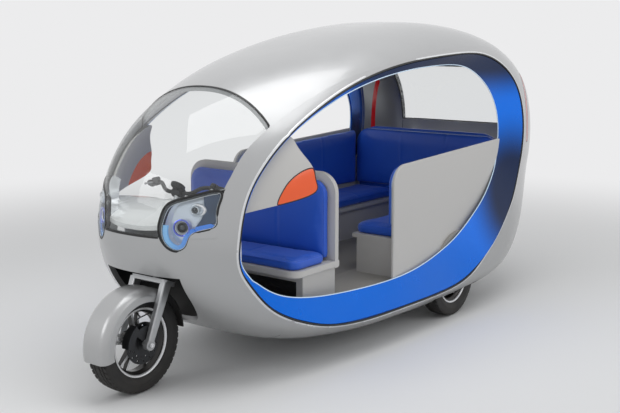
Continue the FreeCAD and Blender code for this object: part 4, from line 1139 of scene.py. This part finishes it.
def sewIn(obj, lines, axes, width):
    # lines: (axis, value, from, to) seams that draw the cover in where they run on the open face
    for vert in obj.data.vertices:
        pull = 0.0
        for axis, value, start, end in lines:
            other = axes[1] if axis == axes[0] else axes[0]
            if start <= vert.co[other] <= end:
                pull = max(pull, math.exp(-((vert.co[axis] - value) / width) ** 2))
        vert.co = vert.co - vert.normal * pull * padding["groove"]


def finishPad(obj, node):
    obj.data.materials.clear()
    obj.data.materials.append(materials["upholstery"])
    obj.data.shade_smooth()
    fine = obj.modifiers.new("fine", "SUBSURF")
    fine.levels = 1
    fine.render_levels = 1
    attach(obj, "body")
    if node:
        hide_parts(node)


def pipingRow(obj, outline, height, axes):
    # the outline laid on the pad's own surface
    bm = bmesh.new()
    bm.from_mesh(obj.data)
    tree = BVHTree.FromBMesh(bm)
    bm.free()
    found = [tree.find_nearest(inSpace(flat, height, axes)) for flat in outline]
    return evenRow([f[0] for f in found], [f[1] for f in found], padding["pipeSpacing"])


def addPiping(name, points, normals, finishName="piping"):
    pipe = padding["pipe"]
    section = [(a, b - pipe * padding["pipeSunk"]) for a, b in ovalSection(pipe, pipe, padding["pipeSteps"])]
    addPiece(name, sweptSection(points, normals, section), finishName)


def addStitches(name, points, normals, aside):
    # short threads beside a seam, at the stitch gap
    gap = padding["stitchGap"]
    points, normals = evenRow(points, normals, gap, 1)
    places = []
    for i, point in enumerate(points):
        ahead = (points[(i + 1) % len(points)] - points[i - 1]).normalized()
        across = ahead.cross(normals[i]).normalized()
        if ahead.length > 0.5 and (point - points[i - 1]).length < gap * 2:
            places.append((point + across * aside + normals[i] * padding["stitchLift"], normals[i], ahead))
    thread = roundedBox(padding["thread"], padding["threadBevel"], 1)
    repeatPart(name, places, thread, "thread", angle=padding["threadAngle"])


def makePad(name, outline, axes, low, high, pad, seams, node=None):
    obj = padBlank(name, outline, low, high, axes, pad["bevel"], pad["voxel"])
    swell(obj, pad["cap"], axes[2], pad["rests"])
    sewIn(obj, seams, axes, pad["seam"])
    finishPad(obj, node)
    return obj, pipingRow(obj, outline, pad["pipingAt"], axes)


def mirroredPad(source, name, node):
    bm = bmesh.new()
    bm.from_mesh(source.data)
    for vert in bm.verts:
        vert.co.x = -vert.co.x
    bmesh.ops.recalc_face_normals(bm, faces=bm.faces)
    finishPad(newObject(name, meshOf(name, bm)), node)


def mirroredRow(points, normals):
    flip = Vector((-1, 1, 1))
    return [p * flip for p in points], [n * flip for n in normals]


# driver's cushion: crowned, with a band along its front and two channels across
low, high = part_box("driver_cushion")
cushion = {"side": 0.005, "front": 0.006, "rear": 0.004, "top": 0.010, "channel": 0.185, "band": 0.05,
           "half": 0.5, "radii": [0.06, 0.06, 0.03, 0.03], "aside": -0.008, "bevel": 0.018, "voxel": 0.0098,
           "cap": 0.013, "rests": -1, "seam": 0.007, "fill": 0.8, "pipingAt": high.z - 0.008}
outline = fourSided(low.x + cushion["side"], high.x - cushion["side"], low.y + cushion["front"],
                    high.y - cushion["rear"], cushion["radii"])
band = low.y + cushion["band"]
seams = [(0, -cushion["channel"], band, 0.0), (0, cushion["channel"], band, 0.0),
         (1, band, -cushion["half"], cushion["half"])]
obj, row = makePad("driverCushionPad", outline, (0, 1, 2), low.z, high.z - cushion["top"], cushion, seams,
                   "driver_cushion")
addPiping("driverCushionPiping", *row)
addStitches("driverCushionStitches", *row, cushion["aside"])

# driver's backrest: thick rounded pad with two upright channels
low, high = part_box("driver_backrest")
backrest = {"side": 0.005, "base": 0.008, "front": 0.010, "rear": 0.001, "channel": 0.185, "channelTop": 0.06,
            "radii": [0.02, 0.02, 0.095, 0.095], "aside": -0.008, "bevel": 0.020, "voxel": 0.0098,
            "cap": 0.012, "rests": 1, "seam": 0.007, "fill": 0.85, "pipingAt": low.y + 0.008}
outline = fourSided(low.x + backrest["side"], high.x - backrest["side"], low.z + backrest["base"],
                    high.z - backrest["side"], backrest["radii"])
seams = [(0, x, low.z, high.z - backrest["channelTop"]) for x in (-backrest["channel"], backrest["channel"])]
obj, row = makePad("driverBackrestPad", outline, (0, 2, 1), low.y + backrest["front"],
                   high.y - backrest["rear"], backrest, seams, "driver_backrest")
addPiping("driverBackrestPiping", *row)
addStitches("driverBackrestStitches", *row, backrest["aside"])
print("driver's pads made")

# passenger benches: a long cushion on each side, sewn across into three places
low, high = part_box("bench_cushion_left")
bench = {"side": 0.004, "front": 0.006, "rear": 0.004, "top": 0.011, "seamFrom": 0.02, "places": 3,
         "radii": [0.035, 0.03, 0.02, 0.02], "aside": 0.009, "bevel": 0.020, "voxel": 0.0122, "cap": 0.013,
         "rests": -1, "seam": 0.009, "fill": 0.75, "pipingAt": high.z - 0.009}
outline = fourSided(low.x + bench["side"], high.x - bench["side"], low.y + bench["front"],
                    high.y - bench["rear"], bench["radii"])
place = (high.y - low.y) / bench["places"]
seams = [(1, low.y + place * i, low.x + bench["seamFrom"], high.x) for i in range(1, bench["places"])]
obj, row = makePad("benchPad_left", outline, (0, 1, 2), low.z, high.z - bench["top"], bench, seams,
                   "bench_cushion_left")
for side, sign in sides:
    if sign < 0:
        mirroredPad(obj, "benchPad_right", "bench_cushion_right")
        row = mirroredRow(*row)
    addPiping("benchPiping_" + side, *row)
    addStitches("benchStitches_" + side, *row, -sign * bench["aside"])

# back pads along both side panels, their top edge following the panel's
low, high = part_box("side_panel_left")
back = {"thick": 0.046, "from": -0.103, "to": 1.286, "base": 0.700, "frontTop": 1.072, "rearTop": 1.124,
        "clearance": 0.0005, "swells": 0.008, "places": 3, "radii": [0.02, 0.02, 0.03, 0.118], "bevel": 0.018,
        "voxel": 0.0122, "cap": 0.011, "rests": 1, "seam": 0.009, "fill": 0.8, "piping": 0.006}
face = low.x - back["clearance"]
back["pipingAt"] = face - back["piping"]
outline = fourSided(back["from"], back["to"], back["base"], back["rearTop"], back["radii"], back["frontTop"])
place = (back["to"] - back["from"]) / back["places"]
seams = [(1, back["from"] + place, back["base"], back["frontTop"]),
         (1, back["from"] + place * 2, back["base"], back["rearTop"])]
obj, row = makePad("sidePad_left", outline, (1, 2, 0), face - back["thick"] + back["swells"], face, back,
                   seams)
for side, sign in sides:
    if sign < 0:
        mirroredPad(obj, "sidePad_right", None)
        row = mirroredRow(*row)
    addPiping("sidePadPiping_" + side, *row, "palePiping")

# rear pad across the bulkhead
low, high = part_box("rear_bulkhead")
rear = {"half": 0.616, "thick": 0.050, "base": 0.700, "top": high.z - 0.004, "channel": 0.19,
        "clearance": 0.0005, "swells": 0.008, "radii": [0.02, 0.02, 0.12, 0.12], "bevel": 0.018,
        "voxel": 0.0122, "cap": 0.011, "rests": 1, "seam": 0.009, "fill": 0.8, "piping": 0.006}
face = low.y - rear["clearance"]
rear["pipingAt"] = face - rear["piping"]
outline = fourSided(-rear["half"], rear["half"], rear["base"], rear["top"], rear["radii"])
seams = [(0, x, rear["base"], rear["top"]) for x in (-rear["channel"], rear["channel"])]
obj, row = makePad("bulkheadPad", outline, (0, 2, 1), face - rear["thick"] + rear["swells"], face, rear,
                   seams)
addPiping("bulkheadPiping", *row, "palePiping")
print("passenger pads made")

# painted corner under each headlamp, over the lowest corner of the windscreen
sill = {"bottom": 0.832, "steps": 10, "lift": 0.0014, "sunk": -0.0015, "edge": 0.012, "from": 0.336,
        "top": 0.912, "past": 0.014, "slope": 0.4, "wall": 0.0022, "curve": 1.2}


def sillRow():
    # (x, z) along the underside of the lamp, and a little past its end
    row = sorted([(p.x, p.y + sill["lift"]) for p in lampRim if p.x > sill["from"] and p.y < sill["top"]])
    lastX, lastZ = row[-1]
    past = sill["past"]
    return row + [(lastX + past * share, lastZ + past * sill["slope"] * share) for share in (0.5, 1.0)]


sillTop = sillRow()
for side, sign in sides:
    corners, faces = [], []
    for x, top in sillTop:
        for j in range(sill["steps"] + 1):
            z = sill["bottom"] + (top - sill["bottom"]) * j / sill["steps"]
            spot = lampPoint(sign, x, z, 0.0)
            margin = min(z - sill["bottom"], sillTop[-1][0] - x) / sill["edge"]
            lift = sill["sunk"] + (sill["lift"] - sill["sunk"]) * max(0.0, min(1.0, margin))
            corners.append(spot + skinAt(spot)[1] * lift)
    rows = sill["steps"] + 1
    for i in range(len(sillTop) - 1):
        for j in range(sill["steps"]):
            faces.append([i * rows + j, (i + 1) * rows + j, (i + 1) * rows + j + 1, i * rows + j + 1])
    bm = meshFrom(corners, faces)
    bm.normal_update()
    if sum(f.normal.y for f in bm.faces) > 0:
        bmesh.ops.reverse_faces(bm, faces=bm.faces)
    addWall(addPiece("lampSill_" + side, bm, "body_paint", angle=sill["curve"]), sill["wall"])


# driver's pedestal: a ribbed panel in its recess, dark as painted shade for the inside of the recess
recessShade = {"half": 0.476, "back": -0.7585, "thick": 0.006, "low": 0.381, "high": 0.502, "bevel": 0.0015,
        "ribs": 9, "ribMargin": 0.014, "ribShare": 1.96, "ribHigh": 0.004, "ribThick": 0.003,
        "ribBevel": 0.001, "ribSunk": 0.0005}
tall = recessShade["high"] - recessShade["low"]
middle = Vector((0.0, recessShade["back"] - recessShade["thick"] / 2, (recessShade["low"] + recessShade["high"]) / 2))
panel = roundedBox(Vector((recessShade["half"] * 2, recessShade["thick"], tall)), recessShade["bevel"])
addPiece("kickPanel", placed(panel, middle), "dark_plastic")
places = []
for i in range(recessShade["ribs"]):
    z = recessShade["low"] + recessShade["ribMargin"] + (tall - recessShade["ribMargin"] * 2) * i / (recessShade["ribs"] - 1)
    spot = Vector((0.0, recessShade["back"] - recessShade["thick"] - recessShade["ribSunk"], z))
    places.append((spot, Vector((0, -1, 0)), Vector((1, 0, 0))))
rib = roundedBox(Vector((recessShade["half"] * recessShade["ribShare"], recessShade["ribHigh"], recessShade["ribThick"])),
                 recessShade["ribBevel"])
repeatPart("kickRibs", places, rib, "dark_plastic")

# ribbed mat along the aisle and in front of the driver's seat: half width, start and end
mat = {"pitch": 0.0185, "rib": 0.0055, "high": 0.0036, "bevel": 0.001, "floor": 0.378}
mats = {"aisleMatRibs": (0.246, -0.50, 1.325), "footMatRibs": (0.44, -1.13, -0.86)}
for name, (half, start, end) in mats.items():
    places = []
    count = int(half * 2 / mat["pitch"])
    for i in range(count + 1):
        x = -half + 2 * half * i / count
        places.append((Vector((x, (start + end) / 2, mat["floor"])), zAxis, Vector((0, 1, 0))))
    rib = roundedBox(Vector((end - start, mat["rib"], mat["high"])), mat["bevel"], 1)
    repeatPart(name, places, rib, "floor_mat")
print("panels and mats made")

# handlebar controls: ribbed grips, switch housings and levers
grip = {"from": 0.232, "to": 0.318, "near": 0.008, "radius": 0.0172, "inside": 0.002, "flange": 0.006,
        "ribs": 13, "end": 0.003, "flangeEdge": 0.0005, "ribsFrom": 0.005, "ribsShort": 0.008, "steps": 40}
# one rib of the grip: past its radius, and along it
gripRib = [(0.0002, 0.0), (0.0018, 0.0012), (0.0018, 0.0040), (0.0002, 0.0052)]
switch = {"back": 0.020, "size": Vector((0.030, 0.044, 0.046)), "bevel": 0.007,
          "button": Vector((0.011, 0.007, 0.005)), "buttonBevel": 0.0015, "rows": (-0.011, 0.003, 0.014),
          "out": 0.0225, "aside": 0.002}
lever = {"steps": 15, "root": 0.022, "reach": 0.046, "turn": 0.75, "bow": 0.7, "most": 0.93, "long": 0.118,
         "start": -0.004, "drop": 0.006, "wide": 0.0062, "high": 0.0038, "ball": 0.0072,
         "ballAcross": 16, "ballDown": 10}


def barPoint(sign, reach):
    close = [v.co for v in nodes["handlebar"].data.vertices if abs(v.co.x * sign - reach) < grip["near"]]
    return sum(close, Vector((0, 0, 0))) / len(close)


def gripProfile(length):
    radius, inside, flange = grip["radius"], grip["inside"], grip["flange"]
    profile = [(radius - inside, -inside), (radius + flange, -inside),
               (radius + flange + grip["flangeEdge"], inside)]
    for i in range(grip["ribs"]):
        place = grip["ribsFrom"] + (length - grip["ribsShort"]) * i / (grip["ribs"] - 1)
        profile += [(radius + out, place + ahead) for out, ahead in gripRib]
    return profile + [(radius - inside, length + grip["end"])]


def leverPath(pod, axis, forward, up):
    # the lever bows forward from the housing and comes back a little to its end
    path = []
    for t in range(lever["steps"]):
        share = t / (lever["steps"] - 1)
        bow = math.sin(share * math.pi * lever["turn"]) ** lever["bow"] / lever["most"]
        reach = lever["root"] + (lever["reach"] - lever["root"]) * bow
        spot = pod + axis * (share * lever["long"] + lever["start"])
        path.append(spot + forward * reach - up * lever["drop"] * share)
    return path


for side, sign in sides:
    near, far = barPoint(sign, grip["from"]), barPoint(sign, grip["to"])
    axis = (far - near).normalized()
    profile = gripProfile((far - near).length)
    addLathe("gripSleeve_" + side, profile, near, axis, "seal", "steering", grip["steps"], ring=True,
             angle=0.5)
    forward = Vector((0, -1, 0)) - axis * Vector((0, -1, 0)).dot(axis)
    forward = forward.normalized()
    up = axis.cross(forward) * sign
    pod = near - axis * switch["back"]
    housing = roundedBox(switch["size"], switch["bevel"], 3)
    addPiece("switchHousing_" + side, placed(housing, pod, axis, up), "dark_plastic", "steering")
    face = pod - forward * switch["out"] - axis * switch["aside"]
    buttons = [(face + up * rise, -forward, axis) for rise in switch["rows"]]
    button = roundedBox(switch["button"], switch["buttonBevel"], 1)
    repeatPart("switches_" + side, buttons, button, "switchPlastic", "steering")
    path = leverPath(pod, axis, forward, up)
    blade = sweptSection(path, [up] * len(path), ovalSection(lever["wide"], lever["high"]), closed=False)
    addPiece("brakeLever_" + side, blade, "fork_metal", "steering")
    bm = bmesh.new()
    bmesh.ops.create_uvsphere(bm, u_segments=lever["ballAcross"], v_segments=lever["ballDown"],
                              radius=lever["ball"])
    bmesh.ops.translate(bm, vec=path[-1], verts=bm.verts)
    addPiece("leverBall_" + side, bm, "fork_metal", "steering")

# round instrument: shares of its radius, and reach
dial = {"radius": 0.041, "tilt": Vector((0, 0.62, 0.78)), "place": Vector((0.0, -1.262, 1.043)),
        "podSteps": 56, "glassSteps": 48}
podShares = [(0.0, -0.016), (0.55, -0.016), (0.92, -0.006), (1.0, 0.004), (0.99, 0.010), (0.93, 0.012),
             (0.89, 0.009), (0.0, 0.009)]
glassShares = [(0.0, 0.0085), (0.885, 0.0085), (0.8, 0.0105), (0.4, 0.0125), (0.0, 0.013)]
addLathe("instrumentPod", scaled(podShares, dial["radius"]), dial["place"], dial["tilt"], "dark_plastic",
         "steering", dial["podSteps"], angle=0.5)
addLathe("instrumentGlass", scaled(glassShares, dial["radius"]), dial["place"], dial["tilt"], "darkLens",
         "steering", dial["glassSteps"])
print("handlebar dressed")

# front hose, clipped down the inside of the fork leg to the caliper
hose = {"radius": 0.0032, "sunk": 0.004, "above": Vector((0.004, 0.0, 0.035)), "steps": 8,
        "sides": 12, "up": Vector((1, 0.1, 0.1))}
hosePoints = [Vector((0.084, -1.424, 0.565)), Vector((0.086, -1.428, 0.535)), Vector((0.088, -1.446, 0.49)),
              Vector((0.088, -1.470, 0.445))]


def smoothPath(points, steps):
    # a curve through the points, with the same number of steps between each two
    path = []
    for i in range(len(points) - 1):
        before, after = points[max(i - 1, 0)], points[min(i + 2, len(points) - 1)]
        a, b = points[i], points[i + 1]
        for k in range(steps):
            t = k / steps
            square = (2 * before - 5 * a + 4 * b - after) * t * t
            cube = (3 * a - before - 3 * b + after) * t * t * t
            path.append(0.5 * ((2 * a) + (b - before) * t + square + cube))
    return path + [points[-1]]


low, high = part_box("brake_caliper")
end = Vector(((low.x + high.x) / 2, (low.y + high.y) / 2, high.z - hose["sunk"]))
path = smoothPath(hosePoints + [end + hose["above"], end], hose["steps"])
ups = [hose["up"].normalized()] * len(path)
section = ovalSection(hose["radius"], hose["radius"], hose["sides"])
addPiece("brakeHose", sweptSection(path, ups, section, False), "seal", "steering")

# crease along each side of the front mudguard, pressed into the sheet, and the axle's nuts on the fork
crease = {"steps": 60, "from": 70, "sweep": 112, "radius": 0.252, "rise": 0.014, "beside": 0.12,
          "least": 0.05, "width": 0.0042, "height": 0.0013, "sunk": 0.001}
nut = {"out": 0.1328, "radius": 0.0105, "height": 0.0075}
bm = mergedCopy("front_fender")
fenderTree = BVHTree.FromBMesh(bm)
bm.free()


def creaseRow(sign):
    points, normals = [], []
    last = crease["steps"] - 1
    for step in range(crease["steps"]):
        turn = math.radians(crease["from"] + crease["sweep"] * step / last)
        reach = crease["radius"] + crease["rise"] * math.sin(math.pi * step / last)
        beside = Vector((sign * crease["beside"], math.cos(turn) * reach, math.sin(turn) * reach))
        spot, normal = fenderTree.find_nearest(frontCentre + beside)[:2]
        if spot is not None and abs(spot.x) > crease["least"]:
            points.append(spot)
            normals.append(normal if normal.x * sign > 0 else -normal)
    return points, normals


for side, sign in sides:
    hub = Vector((sign * nut["out"], frontCentre.y, frontCentre.z))
    nutPlace = [(hub, Vector((sign, 0, 0)), zAxis)]
    repeatPart("axleNut_" + side, nutPlace, hexBolt(nut["radius"], nut["height"]), "machined", "steering")
    section = domeSection(crease["width"], crease["height"], crease["sunk"])
    addPiece("fenderCrease_" + side, sweptSection(*creaseRow(sign), section, False), "fork_metal", "steering")

# flutes across the tail lamps
flute = {"margin": 0.01, "pitch": 0.011, "near": 0.014, "size": Vector((0.0028, 0.017, 0.0016)),
         "bevel": 0.0006}
for side, sign in sides:
    node = nodes["tail_lamp_" + side]
    low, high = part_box("tail_lamp_" + side)
    places = []
    tall = high.z - low.z - flute["margin"] * 2
    steps = int(tall / flute["pitch"])
    for i in range(steps + 1):
        z = low.z + flute["margin"] + tall * i / steps
        close = [v.co for v in node.data.vertices if abs(v.co.z - z) < flute["near"]]
        if close:
            middle = sum(close, Vector((0, 0, 0))) / len(close)
            places.append((*skinAt(Vector((middle.x, middle.y, z))), zAxis))
    repeatPart("tailFlutes_" + side, places, roundedBox(flute["size"], flute["bevel"], 1), "lamp_red")
print("lamps and mudguard dressed")

# studio: soft boxes, pale floor and backdrop
studio = {"floor": "#e4e5e6", "sky": 0.56, "skyColour": "#f1f1f1", "backdrop": "#ececed", "fadeFrom": 2.6,
          "fadeTo": 7.5, "floorHalf": 30, "floorDrop": 0.001}
# each soft box: place, aim, size and watts
softBoxes = {
    "topSoftBox": ((0.6, -0.6, 5.0), (0, 0, 0.6), (4.5, 3.5), 108),
    "leftSoftBox": ((5.0, 1.5, 3.2), (0, 0, 0.8), (3.5, 2.5), 30),
    "frontSoftBox": ((-1.5, -6.0, 3.4), (0, -0.5, 0.8), (3.5, 2.5), 54),
}
for name, (place, aim, size, power) in softBoxes.items():
    light = bpy.data.lights.new(name, "AREA")
    light.shape = "RECTANGLE"
    light.size, light.size_y = size
    light.energy = power
    obj = newObject(name, light)
    obj.location = place
    obj.rotation_euler = (Vector(aim) - Vector(place)).to_track_quat("-Z", "Y").to_euler()

world = bpy.data.worlds.new("studio")
scene.world = world
world.use_nodes = True
tree = world.node_tree
tree.nodes.clear()
out = addNode(tree, "ShaderNodeOutputWorld")
rays = addNode(tree, "ShaderNodeLightPath").outputs
direct = addMath(tree, "MAXIMUM", rays["Is Camera Ray"], rays["Is Transmission Ray"])
seen = addMath(tree, "MAXIMUM", direct, rays["Is Glossy Ray"])
lit = addNode(tree, "ShaderNodeBackground", Color=toLinear(studio["skyColour"]), Strength=studio["sky"])
shown = addNode(tree, "ShaderNodeBackground", Color=toLinear(studio["backdrop"]), Strength=1.0)
mix = addNode(tree, "ShaderNodeMixShader", i0=seen, i1=lit.outputs[0], i2=shown.outputs[0])
tree.links.new(mix.outputs[0], out.inputs[0])

# the floor fades into the backdrop away from the object, and keeps the shadow near it
floorMaterial = surfaceMaterial("paleFloorSheet", studio["floor"], 0.75, mottle=0.004)
tree = floorMaterial.node_tree
reach = addNode(tree, "ShaderNodeVectorMath", {"operation": "LENGTH"}, i0=addPlace(tree)).outputs["Value"]
fade = addRange(tree, reach, studio["fadeFrom"], studio["fadeTo"], kind="SMOOTHSTEP")
far = addNode(tree, "ShaderNodeEmission", Color=toLinear(studio["backdrop"]), Strength=1.0)
output = [n for n in tree.nodes if n.type == "OUTPUT_MATERIAL"][0]
near = output.inputs[0].links[0].from_socket
blend = addNode(tree, "ShaderNodeMixShader", i0=fade, i1=near, i2=far.outputs[0])
tree.links.new(blend.outputs[0], output.inputs[0])
corners = [Vector((x, y, 0)) * studio["floorHalf"] for x, y in ((-1, -1), (1, -1), (1, 1), (-1, 1))]
corners = [c - zAxis * studio["floorDrop"] for c in corners]
floor = newObject("studioFloor", meshOf("studioFloor", meshFrom(corners, [[0, 1, 2, 3]])))
floor.data.materials.append(floorMaterial)

# camera at the photograph's viewing angle: degrees round and down, and millimetres
view = {"place": (3.7699, -5.0546, 1.87), "turn": 37.2, "dip": 10.01, "lens": 58.06, "sensor": 36.0}
camera = bpy.data.cameras.new("camera")
camera.lens = view["lens"]
camera.sensor_width = view["sensor"]
cameraObj = newObject("camera", camera)
turn, dip = math.radians(view["turn"]), math.radians(view["dip"])
cameraObj.location = view["place"]
sight = Vector((-math.sin(turn) * math.cos(dip), math.cos(turn) * math.cos(dip), -math.sin(dip)))
cameraObj.rotation_euler = sight.to_track_quat("-Z", "Y").to_euler()
scene.camera = cameraObj
scene.view_settings.view_transform = "Standard"

print("scene finished")
